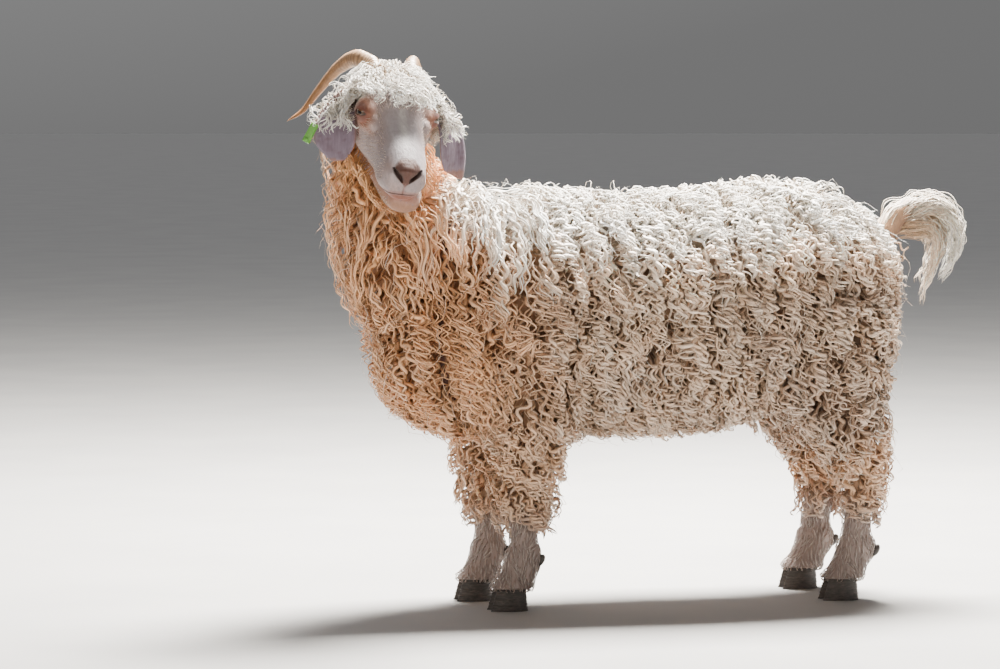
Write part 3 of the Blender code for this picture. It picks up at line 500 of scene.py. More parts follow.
# Folds of skin run round each eye, deepest above it
for side in (LEFT, RIGHT):
    offset = spots - np.array(on_side(EYE, side))
    distance = np.linalg.norm(offset, axis=1)
    facing = (offset * np.array(on_side(EYE_OUT, side))).sum(1) / distance
    band = np.clip(1 - np.abs(distance - 0.0215) / 0.0055, 0, 1) * soft_step(facing, 0.0, 0.5)
    band = band * (0.45 + 0.55 * soft_step(offset[:, 2], 0.0, 0.012))
    spots += (offset / distance[:, None]) * (0.0008 * band * np.sin(distance * 2 * math.pi / 0.0036))[:, None]
head.data.vertices.foreach_set("co", into_world(spots).ravel())
head_tree = BVHTree.FromPolygons([v.co for v in head.data.vertices],
                                 [tuple(f.vertices) for f in head.data.polygons])
cuts = [object_from("mouth", [mouth(head_tree)])]
cuts += [object_from("nostril", [nostril(s, head_tree)]) for s in (LEFT, RIGHT)]
cuts += [object_from("lid_gap", [eye_gap(s)]) for s in (LEFT, RIGHT)]
cuts += [object_from("socket", [ball(eye_axes(s)[0], [EYE_RADIUS + 0.0003] * 3, None, 28, 48)])
         for s in (LEFT, RIGHT)]
joined(head, cuts, "DIFFERENCE")

# The ears are thin gristle under skin, bare and velvety in front and woolly behind. Each leaves the
# head sideways and hangs, curled forward at its edges and cut nearly square at its end.
EAR_ROOT = (0.026, 0.046, 0.018)
# Share of the length, outwards, forwards, down, half width
EAR = (
    (0.00, -0.006, 0.000, -0.002, 0.012),
    (0.10, 0.012, 0.000, -0.002, 0.014),
    (0.25, 0.030, 0.008, 0.018, 0.021),
    (0.50, 0.044, 0.014, 0.052, 0.033),
    (0.75, 0.049, 0.016, 0.084, 0.037),
    (1.00, 0.050, 0.014, 0.113, 0.033),
)
EAR_THICK = 0.0042
EAR_CUP = 0.30
EAR_SWEEP = 0.50
# Inner and outer edge as shares of the half width, each with what the end takes off, and the outer drop:
# the right ear ends round, and the left one, seen more from its edge, in an outer corner
EAR_RIGHT_CUT = ((-1.0, 0.45), (1.0, 0.85), 0.004)
EAR_LEFT_CUT = ((-0.85, 0.30), (0.80, 0.05), 0.014)


def ear_sections(side, count=44):
    """Sections of an ear: middle, outer-edge direction, front direction, half width, share of the length."""
    out = HEAD_LEFT * -side
    root = HEAD @ Vector(on_side(EAR_ROOT, side))
    table = spaced(EAR, count)
    middles = [root + out * o + HEAD_FORWARD * f - Vector((0, 0, d)) for _, o, f, d, _ in table]
    made = []
    for k, (share, _, _, _, half) in enumerate(table):
        along = (middles[min(k + 1, count - 1)] - middles[max(k - 1, 0)]).normalized()
        across = out * 0.85 - HEAD_FORWARD * EAR_SWEEP
        across = across * share + (HEAD_FORWARD * 0.15 + Vector((0, 0, 1))) * max(0, 0.35 - share) * 2
        across = (across - along * across.dot(along)).normalized()
        front = across.cross(along) * side
        made.append((middles[k], across, front, half, share))
    return made


def ear_shell(side, columns=15):
    rings = []
    sections = ear_sections(side)
    for k, (middle, across, front, half, share) in enumerate(sections):
        # The blade thins and narrows fast over the last few rows, for a soft rim
        rim = min(1.0, ((len(sections) - 1 - k) / 2.5 + 0.12)) ** 0.5
        end = max(share - 0.6, 0) / 0.4
        low, high, drop_outside = EAR_LEFT_CUT if side == LEFT else EAR_RIGHT_CUT
        low, high = low[0] + low[1] * end**2, high[0] - high[1] * end**2
        near, far = [], []
        for u in np.linspace(-1, 1, columns):
            edge = math.sqrt(max(1 - abs(u) ** 4, 0.08)) * rim
            u = low + (u + 1) / 2 * (high - low)
            curl = EAR_CUP * (1.25 - share * 0.75) * half * u * u
            drop = Vector((0, 0, -drop_outside * end * (u + 0.3)))
            fold = 0.0012 * math.sin(u * 7 + share * 3) * math.sin(share * math.pi)
            spine = middle + across * (u * half * (0.94 + 0.06 * rim)) + front * (curl + fold) + drop
            near.append(spine + front * EAR_THICK / 2 * edge)
            far.append(spine - front * EAR_THICK / 2 * edge)
        rings.append(np.array(near + far[::-1]))
    points, faces = shell(rings)
    return points, faces


def ear_tips_closed(side):
    """The ear with its two ends closed across, since its sections are thin and bent."""
    points, faces = ear_shell(side)
    count = len(points) - 2
    sides = 30
    kept = [f for f in faces if max(f) < count]
    flipped = faces[0][0] > faces[0][2]
    for start, turn in ((0, True), (count - sides, False)):
        for k in range(sides // 2 - 1):
            quad = [start + k, start + k + 1, start + sides - 2 - k, start + sides - 1 - k]
            kept.append(quad[::-1] if turn != flipped else quad)
    return points[:count], kept


ears = [object_from("ear", [ear_tips_closed(side)]) for side in (LEFT, RIGHT)]
skin = joined(body, [*shanks, head, *ears])
skin.name = "skin"
skin.data.name = "skin"
print("skin", len(skin.data.vertices), len(skin.data.polygons))

# The skin's hair is white to cream, whiter on top where sunlight is painted in, dusty on the flanks
# and darker there with painted shade, golden on the chest and under the chin, partly painted warm bounce
# light, with grey-white face hair darkened as painted shade and a painted sunlit streak down the nose,
# reddish lids, a brownish-pink nose and mauve-grey ears. Skin and fleece share one colouring, worked out
# for any place on the goat.
PLACE = Vector((eyes_middle.x, eyes_middle.y, 0))
PLACE -= Vector(((HEAD @ Vector((EYE[0], 0, EYE[2]))).x, (HEAD @ Vector((EYE[0], 0, EYE[2]))).y, 0))
CREAM = (0.90, 0.66, 0.46)
WHITE = (0.95, 0.91, 0.84)
DUST_AND_SHADE = (0.46, 0.30, 0.20)
GOLDEN = (0.76, 0.37, 0.145)
SHADED_SHANK_WHITE = (0.34, 0.26, 0.23)
SHADED_FACE_WHITE = (0.30, 0.275, 0.29)
FACE_PINK = (0.33, 0.175, 0.125)
FACE_SHADE_GREY = (0.16, 0.16, 0.20)
SUNLIT_STREAK = (0.62, 0.59, 0.58)
RUST = (0.33, 0.125, 0.055)
LID_RED = (0.15, 0.040, 0.022)
NOSE = (0.080, 0.025, 0.013)
NOSE_DARK = (0.040, 0.017, 0.012)
LIP = (0.22, 0.065, 0.038)
CHIN = (0.27, 0.13, 0.065)
NOSTRIL = (0.030, 0.014, 0.010)
EAR_MAUVE = (0.185, 0.140, 0.185)
EAR_RIM = (0.22, 0.115, 0.10)


def blot(points, middle, reach):
    return np.exp(-(((points - np.array(middle)) / np.array(reach)) ** 2).sum(1))


def mixed(colours, other, share):
    return colours + (np.array(other) - colours) * np.clip(share, 0, 1)[:, None]


def mottle(points, scale, seed=0.0):
    """Smooth noise from -1 to 1 at each point."""
    return np.array([noise.noise(Vector(p) * scale + Vector((seed, seed * 1.7, 0))) for p in points])


def on_face(local):
    """How far a place belongs to the short-haired face, from 0 to 1."""
    front = soft_step(local[:, 0], 0.040, 0.075)
    return front * (1 - soft_step(np.abs(local[:, 1]), 0.070, 0.080)) * (
        soft_step(local[:, 2], -0.108, -0.098)) * (
        1 - soft_step(local[:, 0], 0.225, 0.24)) * (local[:, 2] < 0.10)


def goat_colours(points, normals):
    """The colour of skin and coat at places on the bare body, in its own frame."""
    x, y, z = points.T
    local = into_head(points)
    colours = np.tile(np.array(CREAM), (len(points), 1))
    # Downward-facing coat on the flanks, more towards the rump, is mixed towards dusty brown: partly real
    # dust, partly painted shade.
    colours = mixed(colours, DUST_AND_SHADE, soft_step(-normals[:, 2], -0.62, 0.10) * soft_step(z, 0.20, 0.34)
                    * (0.60 + 0.45 * mottle(points, 9) + 0.25 * soft_step(x, 0.05, 0.30))
                    * soft_step(x, -0.36, -0.20))
    # Upward-facing coat is mixed towards white: painted sunlight on the top of the fleece.
    colours = mixed(colours, WHITE, soft_step(normals[:, 2], 0.30, 0.75))
    # The front of the neck and chest, where it does not face up, is golden: partly the coat's own tone,
    # partly painted warm bounce light and the shade under the head.
    front = soft_step(-x + 0.05 * mottle(points, 6, 2), 0.15, 0.38) * soft_step(z, 0.24, 0.34) * (
        1 - soft_step(normals[:, 2], 0.2, 0.6))
    colours = mixed(colours, GOLDEN, front * (0.80 + 0.30 * mottle(points, 11, 4)))
    # The lower legs get a darkened white: painted shade on the shanks.
    colours = mixed(colours, SHADED_SHANK_WHITE, 1 - soft_step(z, 0.15, 0.24))
    colours = mixed(colours, GOLDEN, 0.45 * soft_step(z, 0.13, 0.20) * (1 - soft_step(z, 0.25, 0.34)))
    around_head = (local[:, 0] > -0.06) & (np.abs(local[:, 1]) < 0.13) & (np.abs(local[:, 2]) < 0.13)
    top = soft_step(local[:, 2], -0.02, 0.02) * around_head * soft_step(z, 0.76, 0.80)
    colours = mixed(colours, WHITE, top)
    face = on_face(local)
    a, b, c = local[:, 0], np.abs(local[:, 1]), local[:, 2]
    speckle = mottle(points, 160, 3)
    # The face's white hair is given as a dark grey: painted shade over the face.
    tone = mixed(np.tile(np.array(SHADED_FACE_WHITE), (len(points), 1)), FACE_PINK,
                 0.35 + 0.25 * mottle(points, 34, 1)
                 + 0.9 * soft_step(-c, 0.03, 0.06) * soft_step(a, 0.06, 0.12))
    place = np.stack([a, b, c], 1)
    tone = mixed(tone, SHADED_FACE_WHITE, 0.7 * soft_step(0.030 - b, 0, 0.014) * soft_step(c, -0.02, 0.01))
    # Blue-grey beside the bridge of the nose is painted shade, with speckles.
    tone = mixed(tone, FACE_SHADE_GREY, 0.65 * blot(place, (0.135, 0.026, 0.002), (0.045, 0.012, 0.018))
                 + 0.15 * speckle)
    # A pale streak down the middle of the bridge is a painted sunlit highlight.
    tone = mixed(tone, SUNLIT_STREAK, 0.8 * blot(np.stack([a, b], 1), (0.135, 0.0), (0.050, 0.007))
                 * soft_step(c, -0.01, 0.01)
                 * (0.75 + 0.5 * mottle(points * (1, 1, 0.3), 120, 7)))
    tone = mixed(tone, (0.24, 0.19, 0.20), 0.65 * soft_step(speckle, 0.30, 0.5) * soft_step(a, 0.14, 0.17))
    for spot, reach in (((0.055, 0.055, -0.022), (0.024, 0.030, 0.035)),
                        ((0.078, 0.050, -0.035), (0.016, 0.030, 0.034)),
                        ((0.085, 0.045, -0.070), (0.026, 0.030, 0.014)),
                        ((0.110, 0.044, 0.006), (0.018, 0.010, 0.008))):
        tone = mixed(tone, RUST, 0.55 * blot(place, spot, reach) * (0.8 + 0.5 * mottle(points, 70, 5)))
    from_lids = (place - np.array(EYE) - np.array(EYE_OUT) * 0.012) * (0.8, 1, 1)
    lids = np.linalg.norm(from_lids, axis=1) + 0.0012 * speckle
    tone = mixed(tone, RUST, 0.85 * (1 - soft_step(lids, 0.013, 0.034)))
    tone = mixed(tone, LID_RED, 0.92 * (1 - soft_step(lids, 0.011, 0.021)))
    # Where the lids meet the eye they are painted nearly black: painted shade in the gap.
    near_eye = np.linalg.norm(place - np.array(EYE), axis=1)
    tone = mixed(tone, (0.045, 0.018, 0.013), 0.9 * (1 - soft_step(near_eye, 0.0150, 0.0166)))
    reach = np.interp(c, (-0.024, -0.0185, -0.010, 0.0, 0.008, 0.015),
                      (0.0, 0.004, 0.014, 0.0225, 0.020, 0.013))
    pad = soft_step(reach - b, -0.001, 0.0025) * soft_step(a + 0.30 * c, 0.193, 0.199)
    tone = mixed(tone, NOSE, 1.0 * pad * (1 + 0.12 * speckle))
    tone = mixed(tone, NOSE_DARK, 0.8 * pad * blot(np.stack([b, c], 1), (0.014, -0.004), (0.008, 0.006)))
    # The nostrils are painted nearly black: painted shade inside the openings.
    for spot in ((0.209, 0.0085, -0.0095), (0.207, 0.0130, -0.0045), (0.202, 0.0180, 0.0000)):
        tone = mixed(tone, NOSTRIL, 1.3 * blot(place, spot, (0.0075, 0.0034, 0.0034)))
    # The groove down the middle of the upper lip is painted darker: painted shade in the groove.
    groove = np.exp(-(b / 0.0011) ** 2) * soft_step(-c, 0.014, 0.019) * (1 - soft_step(-c, 0.035, 0.037))
    tone = mixed(tone, (0.22, 0.11, 0.09), 0.8 * groove * soft_step(a, 0.195, 0.205))
    line = -0.0365 - 0.0060 * (np.clip(b, 0, 0.040) / 0.040) ** 2
    lower = soft_step(line - c, 0.0, 0.003) * (1 - soft_step(line - c, 0.010, 0.019)) * (
        1 - soft_step(b, 0.014, 0.030))
    tone = mixed(tone, LIP, 0.85 * lower * soft_step(a, 0.176, 0.192))
    tone = mixed(tone, LIP, 0.45 * soft_step(c - line, 0.0, 0.002) * (1 - soft_step(c - line, 0.003, 0.008))
                 * soft_step(a, 0.176, 0.192))
    # The line between the lips is painted dark: painted shade in the crease.
    tone = mixed(tone, (0.11, 0.05, 0.04), 0.85 * np.exp(-((c - line) / 0.0011) ** 2)
                 * soft_step(a, 0.158, 0.166))
    chin = soft_step(-c, 0.052, 0.062) * soft_step(a, 0.12, 0.17)
    tone = mixed(tone, CHIN, 0.6 * chin)
    face = face * (1 - soft_step(b, 0.062, 0.072) * soft_step(-c, 0.055, 0.070))
    colours = colours + (tone - colours) * face[:, None]
    return colours, local


def ear_place(points, side):
    """For each place: how far down an ear, how far in front of its blade, and the distance from it."""
    sections = ear_sections(side, 30)
    middles = np.array([s[0] for s in sections])
    gaps = np.linalg.norm(points[:, None, :] - middles[None], axis=2)
    nearest = gaps.argmin(1)
    across = np.array([s[1] for s in sections])[nearest]
    front = np.array([s[2] for s in sections])[nearest]
    half = np.array([s[3] for s in sections])[nearest]
    share = np.array([s[4] for s in sections])[nearest]
    offset = points - middles[nearest]
    u = (offset * across).sum(1) / half
    height = (offset * front).sum(1) - EAR_CUP * (1.25 - share * 0.75) * half * u * u
    inside = (np.abs(u) < 1.12) & (np.abs(height) < 0.0065) & (share > 0.06)
    return share, u, height, front, inside


def vertex_data(obj):
    count = len(obj.data.vertices)
    points, normals = np.empty(count * 3), np.empty(count * 3)
    obj.data.vertices.foreach_get("co", points)
    obj.data.vertices.foreach_get("normal", normals)
    return points.reshape(-1, 3), normals.reshape(-1, 3)


def lay_colours(mesh, colours):
    """Stores one colour for each point, for the material to read."""
    layer = mesh.color_attributes.new("coat_colour", "FLOAT_COLOR", "POINT")
    full = np.ones((len(colours), 4), np.float32)
    full[:, :3] = np.clip(colours, 0, 1)
    layer.data.foreach_set("color", full.ravel())


skin_points, skin_normals = vertex_data(skin)
colours, skin_local = goat_colours(skin_points, skin_normals)
for side in (LEFT, RIGHT):
    share, u, height, front, inside = ear_place(skin_points, side)
    facing = (skin_normals * front).sum(1)
    inner = inside * soft_step(facing, -0.1, 0.3)
    blotch = mottle(skin_points, 90, 6)
    tone = mixed(np.tile(np.array(EAR_MAUVE), (len(skin_points), 1)), (0.14, 0.095, 0.125),
                 0.7 * soft_step(blotch, 0.0, 0.5))
    tone = mixed(tone, (0.11, 0.06, 0.08), 0.6 * soft_step(mottle(skin_points, 230, 8), 0.30, 0.50))
    tone = mixed(tone, EAR_RIM, soft_step(np.abs(u), 0.86, 0.98) + soft_step(share, 0.975, 1.0))
    tone = mixed(tone, (0.56, 0.38, 0.33), 1 - soft_step(share, 0.12, 0.34))
    colours = colours + (tone - colours) * inner[:, None]
# Under the fleece the skin is painted darker and warmer: painted shade beneath the locks.
woolly = soft_step(skin_points[:, 2], WOOL_END, WOOL_END + 0.05) * (
    1 - np.clip(on_face(skin_local) + (skin_local[:, 0] > -0.03) * (np.abs(skin_local[:, 1]) < 0.13)
                * (np.abs(skin_local[:, 2]) < 0.13), 0, 1))
colours = colours * (1 - woolly[:, None] * np.array((0.50, 0.58, 0.64)))
lay_colours(skin.data, colours)


class Recipe:
    """A material's nodes, added one by one and wired from left to right."""

    def __init__(self, name, roughness, **sockets):
        self.look = bpy.data.materials.new(name)
        self.look.use_nodes = True
        self.nodes = self.look.node_tree.nodes
        self.links = self.look.node_tree.links
        self.shader = self.nodes["Principled BSDF"]
        self.shader.inputs["Roughness"].default_value = roughness
        for socket, value in sockets.items():
            self.shader.inputs[socket.replace("_", " ")].default_value = value

    def add(self, kind, **settings):
        node = self.nodes.new(kind)
        for name, value in settings.items():
            if name in node.inputs:
                node.inputs[name].default_value = value
            else:
                setattr(node, name, value)
        return node

    def wire(self, source, target):
        self.links.new(source, target)

    def grain(self, scale, detail=4.0, roughness=0.55, stretch=(1, 1, 1), turn=(0, 0, 0), uv=None):
        """Noise over the object's own space, or over a named map, stretched and turned."""
        if uv:
            place = self.add("ShaderNodeUVMap")
            place.uv_map = uv
            source = place.outputs["UV"]
        else:
            source = self.add("ShaderNodeTexCoord").outputs["Object"]
        fit = self.add("ShaderNodeMapping")
        fit.inputs["Scale"].default_value = stretch
        fit.inputs["Rotation"].default_value = turn
        self.wire(source, fit.inputs["Vector"])
        made = self.add("ShaderNodeTexNoise", Scale=scale, Detail=detail, Roughness=roughness)
        self.wire(fit.outputs["Vector"], made.inputs["Vector"])
        return made.outputs["Fac"]

    def ramp(self, source, *stops):
        """Turns a value into grey levels or colours through stops of place and colour."""
        made = self.add("ShaderNodeValToRGB")
        while len(made.color_ramp.elements) < len(stops):
            made.color_ramp.elements.new(0.5)
        for element, (place, colour) in zip(made.color_ramp.elements, stops):
            element.position = place
            element.color = (*colour, 1) if isinstance(colour, tuple) else (colour, colour, colour, 1)
        self.wire(source, made.inputs["Fac"])
        return made.outputs["Color"]

    def painted(self, source):
        """The stored colours, with a pattern multiplied over them, as the base colour."""
        read = self.add("ShaderNodeAttribute")
        read.attribute_name = "coat_colour"
        blend = self.add("ShaderNodeMix", data_type="RGBA", blend_type="MULTIPLY")
        blend.inputs["Factor"].default_value = 1.0
        self.wire(read.outputs["Color"], blend.inputs[6])
        self.wire(source, blend.inputs[7])
        self.wire(blend.outputs[2], self.shader.inputs["Base Color"])

    def both_bumps(self, first, first_depth, second, second_depth):
        low = self.add("ShaderNodeBump", Strength=1.0, Distance=first_depth)
        self.wire(first, low.inputs["Height"])
        high = self.add("ShaderNodeBump", Strength=1.0, Distance=second_depth)
        self.wire(second, high.inputs["Height"])
        self.wire(low.outputs["Normal"], high.inputs["Normal"])
        self.wire(high.outputs["Normal"], self.shader.inputs["Normal"])


hide = Recipe("short_hair_and_skin", 0.62, Sheen_Weight=0.10, Sheen_Roughness=0.5)
hair_lie = hide.grain(260, 3, 0.6, (1, 1, 0.16), (0, math.radians(-20), 0))
hide.painted(hide.ramp(hair_lie, (0.25, 0.80), (0.72, 1.10)))
hide.both_bumps(hair_lie, 0.0011, hide.grain(900, 2), 0.0003)
skin.data.materials.clear()
skin.data.materials.append(hide.look)


def put_in_place(obj, *nodes, slot=None):
    obj.data.transform(Matrix.Translation(PLACE))
    obj.data.shade_smooth()
    if nodes:
        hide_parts(*nodes)
    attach(obj, "root")


skin_tree = BVHTree.FromPolygons([Vector(p) for p in skin_points],
                                 [tuple(f.vertices) for f in skin.data.polygons])
skin_mesh = skin.data.copy()
put_in_place(skin, "torso", "neck", "head", "tail", "leg_fore_left", "leg_fore_right", "leg_hind_left",
             "leg_hind_right", "ear_left", "ear_right", slot="face_hair")

# The eyes are wet balls behind the lids: a dark amber iris with the goat's long level pupil, under a
# clear bulging cornea, and a brown-tinged white that hardly shows.
IRIS_EDGE = 0.72
PUPIL = (0.40, 0.155)


def eyeball(side):
    centre, out, ahead, up = eye_axes(side)
    points, faces = ball((0, 0, 0), (1, 1, 1), None, 60, 96)
    radial = np.hypot(points[:, 0], points[:, 1])
    bulge = np.where(points[:, 2] > 0, 0.045 * soft_step(IRIS_EDGE - radial, 0, 0.5), 0)
    slot_like = (np.abs(points[:, 0]) / PUPIL[0]) ** 4 + (np.abs(points[:, 1]) / PUPIL[1]) ** 4
    colours = np.tile(np.array((0.125, 0.055, 0.018)), (len(points), 1))
    colours = mixed(colours, (0.050, 0.020, 0.008), soft_step(radial, 0.35, 0.62))
    colours = mixed(colours, (0.16, 0.10, 0.075), soft_step(radial, IRIS_EDGE, IRIS_EDGE + 0.05))
    colours = mixed(colours, (0.006, 0.005, 0.006), 1 - soft_step(slot_like, 0.8, 1.25))
    colours[points[:, 2] < 0] = (0.30, 0.18, 0.14)
    points = points * (1 + bulge)[:, None]
    turn = np.array(Matrix((ahead, up, out)).transposed())
    obj = object_from("eyeball_" + ("left" if side == LEFT else "right"),
                      [(points @ turn.T * EYE_RADIUS + np.array(centre), faces)])
    lay_colours(obj.data, colours)
    return obj


wet = Recipe("wet_eye", 0.06, Coat_Weight=1.0, Coat_Roughness=0.02, IOR=1.38)
wet.painted(wet.ramp(wet.grain(420, 3, 0.6, (1, 1, 1)), (0.30, 0.72), (0.70, 1.15)))
for side, label in ((LEFT, "left"), (RIGHT, "right")):
    obj = eyeball(side)
    obj.data.materials.append(wet.look)
    put_in_place(obj, "eye_" + label, slot="eye")

# The horns are sheaths of horn over bone, tan and closely ringed at the base, smoother and more
# orange towards the point. They run back from the brow, then out and down.
HORN_ROOT = (0.010, 0.029, 0.049)
# Outwards, back, up, radius
HORN = (
    (-0.004, -0.012, -0.014, 0.0155),
    (0.000, 0.000, 0.000, 0.0160),
    (0.004, 0.018, 0.012, 0.0158),
    (0.018, 0.056, 0.021, 0.0142),
    (0.034, 0.088, 0.008, 0.0122),
    (0.050, 0.110, -0.014, 0.0098),
    (0.069, 0.124, -0.043, 0.0074),
    (0.089, 0.132, -0.072, 0.0050),
    (0.115, 0.136, -0.092, 0.0018),
)
HORN_FLAT = 0.80


def horn(side, rows=260, sides=36):
    out = HEAD_LEFT * -side
    root = HEAD @ Vector(on_side(HORN_ROOT, side))
    table = spaced(HORN, rows)
    middles = [root + out * o - HEAD_FORWARD * b + Vector((0, 0, u)) for o, b, u, _ in table]
    rings, colours = [], []
    angle = np.linspace(0, 2 * math.pi, sides, endpoint=False)
    for k, row in enumerate(table):
        share = k / (rows - 1)
        along = (middles[min(k + 1, rows - 1)] - middles[max(k - 1, 0)]).normalized()
        across = (out - along * out.dot(along)).normalized()
        up = along.cross(across)
        phase = 44 * share ** 1.15 * 2 * math.pi + 2.6 * math.sin(9 * share) + 1.2 * math.sin(31 * share)
        wobble = (1.3 * np.sin(angle + 3 * share) + 0.8 * np.sin(2 * angle + 11 * share)
                  + 0.6 * np.sin(3 * angle - 23 * share))
        fade = max(0.0, 1 - share * 1.35)
        ridge = 1 + (0.050 * np.cos(phase * 0.22 + wobble * 0.5) + 0.022 * np.sin(phase + wobble)) * fade
        size = row[3] * ridge * min(1.0, (1.02 - share) * 14)
        made = (np.array(middles[k]) + np.outer(np.cos(angle) * size * HORN_FLAT, across)
                + np.outer(np.sin(angle) * size, up))
        rings.append(made)
        dark = 0.5 + 0.5 * np.sin(phase + wobble + 2.6)
        tone = np.array((0.36, 0.245, 0.15)) * (1 - share) + np.array((0.42, 0.19, 0.07)) * share
        # The underside of the horn is painted darker: painted shade.
        under = 0.80 + 0.20 * np.sin(angle)
        tone = tone * ((0.50 + 0.55 * (1 - dark * fade)) * under)[:, None]
        colours.append(np.clip(tone, 0, 1))
    points, faces = shell(rings)
    obj = object_from("horn_sheath_" + ("left" if side == LEFT else "right"), [(points, faces)])
    lay_colours(obj.data, np.vstack([*colours, [colours[0][0]], [colours[-1][0]]]))
    return obj


sheath = Recipe("ringed_horn", 0.42, Specular_IOR_Level=0.45)
fibres = sheath.grain(150, 5, 0.6)
sheath.painted(sheath.ramp(fibres, (0.28, 0.74), (0.70, 1.16)))
sheath.both_bumps(fibres, 0.0007, sheath.grain(900, 2), 0.00025)
for side, label in ((LEFT, "left"), (RIGHT, "right")):
    obj = horn(side)
    obj.data.materials.append(sheath.look)
    put_in_place(obj, "horn_" + label, slot="horn")

# Each foot stands on two claws of dark horn with fine growth rings, flat below and leaning back to the
# hairline, with two dewclaws of the same horn behind the pastern.
CLAW_LENGTH, CLAW_WIDTH, CLAW_GAP = 0.062, 0.0245, 0.004
CLAW_TOP = 0.0367
DEWCLAW_RADIUS, DEWCLAW_Z = 0.0085, 0.082


def claw(kind, side, place):
    x, y = (FORELEG if kind.startswith("fore") else HINDLEG)[-1][:2]
    middle = np.array((CANNON_X[kind] + x, side * y + place * (CLAW_WIDTH + CLAW_GAP) / 2, 0))
    angle = np.linspace(0, 2 * math.pi, 40, endpoint=False)
    c, s = np.cos(angle), np.sin(angle)
    rings = []
    for share in [0.0, 0.02, 0.06, *np.linspace(0.12, 1.0, 34)]:
        toe, heel = CLAW_LENGTH * (0.60 - 0.17 * share), CLAW_LENGTH * (0.40 - 0.05 * share)
        rim = 0.93 if share == 0 else 0.985 if share < 0.05 else 1.0
        wide = CLAW_WIDTH / 2 * (1.0 - 0.10 * share) * rim
        growth = 1 + 0.012 * math.sin(share * 46) + 0.010 * math.sin(share * 21 + 1)
        narrow = 1 - 0.45 * np.maximum(c, 0) ** 2
        rings.append(middle + np.stack([-c * np.where(c > 0, toe, heel) * growth,
                                        s * wide * narrow * growth - place * np.maximum(c, 0) * 0.0015,
                                        np.full(40, CLAW_TOP * share)], 1))
    return shell(rings)


keratin = Recipe("hoof_horn", 0.45)
streaks = keratin.grain(120, 4, 0.6, (1, 1, 3.5))
tone = keratin.ramp(streaks, (0.28, (0.026, 0.021, 0.019)), (0.55, (0.058, 0.047, 0.040)),
                    (0.80, (0.110, 0.088, 0.072)))
keratin.wire(tone, keratin.shader.inputs["Base Color"])
keratin.both_bumps(streaks, 0.0008, keratin.grain(700, 2), 0.0003)
for kind in CANNON_X:
    side = LEFT if kind.endswith("left") else RIGHT
    for label, place in (("inner", -side), ("outer", side)):
        obj = object_from(f"claw_{kind}_{label}", [claw(kind, side, place)])
        obj.data.materials.append(keratin.look)
        put_in_place(obj, f"hoof_{kind}_{label}", slot="hoof")
        from_middle = 0.070 if kind.startswith("fore") else 0.080
        spot = (CANNON_X[kind] + 0.026, side * from_middle + place * 0.011, DEWCLAW_Z)
        lean = Matrix.Rotation(math.radians(35), 3, "Y")
        radii = (DEWCLAW_RADIUS * 0.8, DEWCLAW_RADIUS * 0.75, DEWCLAW_RADIUS * 1.35)
        nub = object_from(f"dew_{kind}_{label}", [ball(spot, radii, lean, 20, 28)])
        nub.data.materials.append(keratin.look)
        put_in_place(nub, f"dewclaw_{kind}_{label}", slot="hoof")

# The ear tag is a blank slip of green plastic folded over the outer edge of the right ear, with the
# end of its stud, in the same green plastic, showing below.
TAG_SIZE = (0.013, 0.0075, 0.034)
TAG_SHARE, TAG_PROUD = 0.66, 0.0022
TAG_SLANT = math.radians(-22)


def tag():
    sections = ear_sections(RIGHT, 11)
    step = min(range(1, 10), key=lambda k: abs(sections[k][4] - TAG_SHARE))
    middle, across, front, half, share = sections[step]
    along = (sections[step + 1][0] - sections[step - 1][0]).normalized()
    curl = EAR_CUP * (1.25 - share * 0.75) * half
    centre = middle + across * (half + TAG_PROUD) + front * curl
    wide, thick, long = (v / 2 for v in TAG_SIZE)
    slant = Matrix.Rotation(TAG_SLANT, 3, front)
    along, across = slant @ along, slant @ across
    centre = centre + along * 0.006
    rings = []
    for part, size in ((-1.0, 0.70), (-0.985, 0.86), (-0.95, 0.96), (-0.88, 1.0), (0.0, 0.97), (0.88, 1.0),
                       (0.95, 0.96), (0.985, 0.86), (1.0, 0.70)):
        rings.append(ring(centre + along * (long * part), across, front, wide * size, thick * size,
                          thick * size, 32, 0.42))
    stud_middle = centre + along * (long * 0.72) + front * thick
    stud = []
    for lift, size in ((-0.002, 0.0032), (0.0004, 0.0034), (0.0012, 0.0031), (0.0016, 0.0020)):
        stud.append(ring(stud_middle + front * lift, across, along, size, size, size, 24))
    return shell(rings), shell(stud)


plastic = Recipe("tag_plastic", 0.38, Specular_IOR_Level=0.5)
scuffs = plastic.grain(240, 4, 0.6)
plastic.wire(plastic.ramp(scuffs, (0.30, (0.085, 0.300, 0.035)), (0.70, (0.150, 0.430, 0.060))),
             plastic.shader.inputs["Base Color"])
plastic.both_bumps(scuffs, 0.0003, plastic.grain(60, 2), 0.0006)
slip, stud = tag()
obj = object_from("tag_slip", [slip, stud])
obj.data.materials.append(plastic.look)
put_in_place(obj, "ear_tag", slot="tag_plastic")

# The fleece is mohair: long lustrous fibres that hang together in curled locks, one lock in step with
# its neighbours. Every strand here is a thin closed body that grows from the skin, rises to the coat's
# depth, then hangs and curls with its lock.
DEPTH_SPOTS = []
DEPTHS = []
DEPTH_SIZES = []
for x, top, bottom, half, coat in TRUNK:
    DEPTH_SPOTS.append((x, 0, (top + bottom) / 2))
    DEPTHS.append(coat)
    DEPTH_SIZES.append((top - bottom) / 2)
for x, y, z, front_reach, back_reach, half, coat in NECK:
    DEPTH_SPOTS.append((x, y, z))
    DEPTHS.append(coat)
    DEPTH_SIZES.append((front_reach + back_reach) / 2)
for kind, start in CANNON_X.items():
    for x, y, z, long, wide, coat in FORELEG if kind.startswith("fore") else HINDLEG:
        DEPTH_SPOTS.append((start + x, (LEFT if kind.endswith("left") else RIGHT) * (y + 0.02), z))
        DEPTHS.append(coat)
        DEPTH_SIZES.append(long)


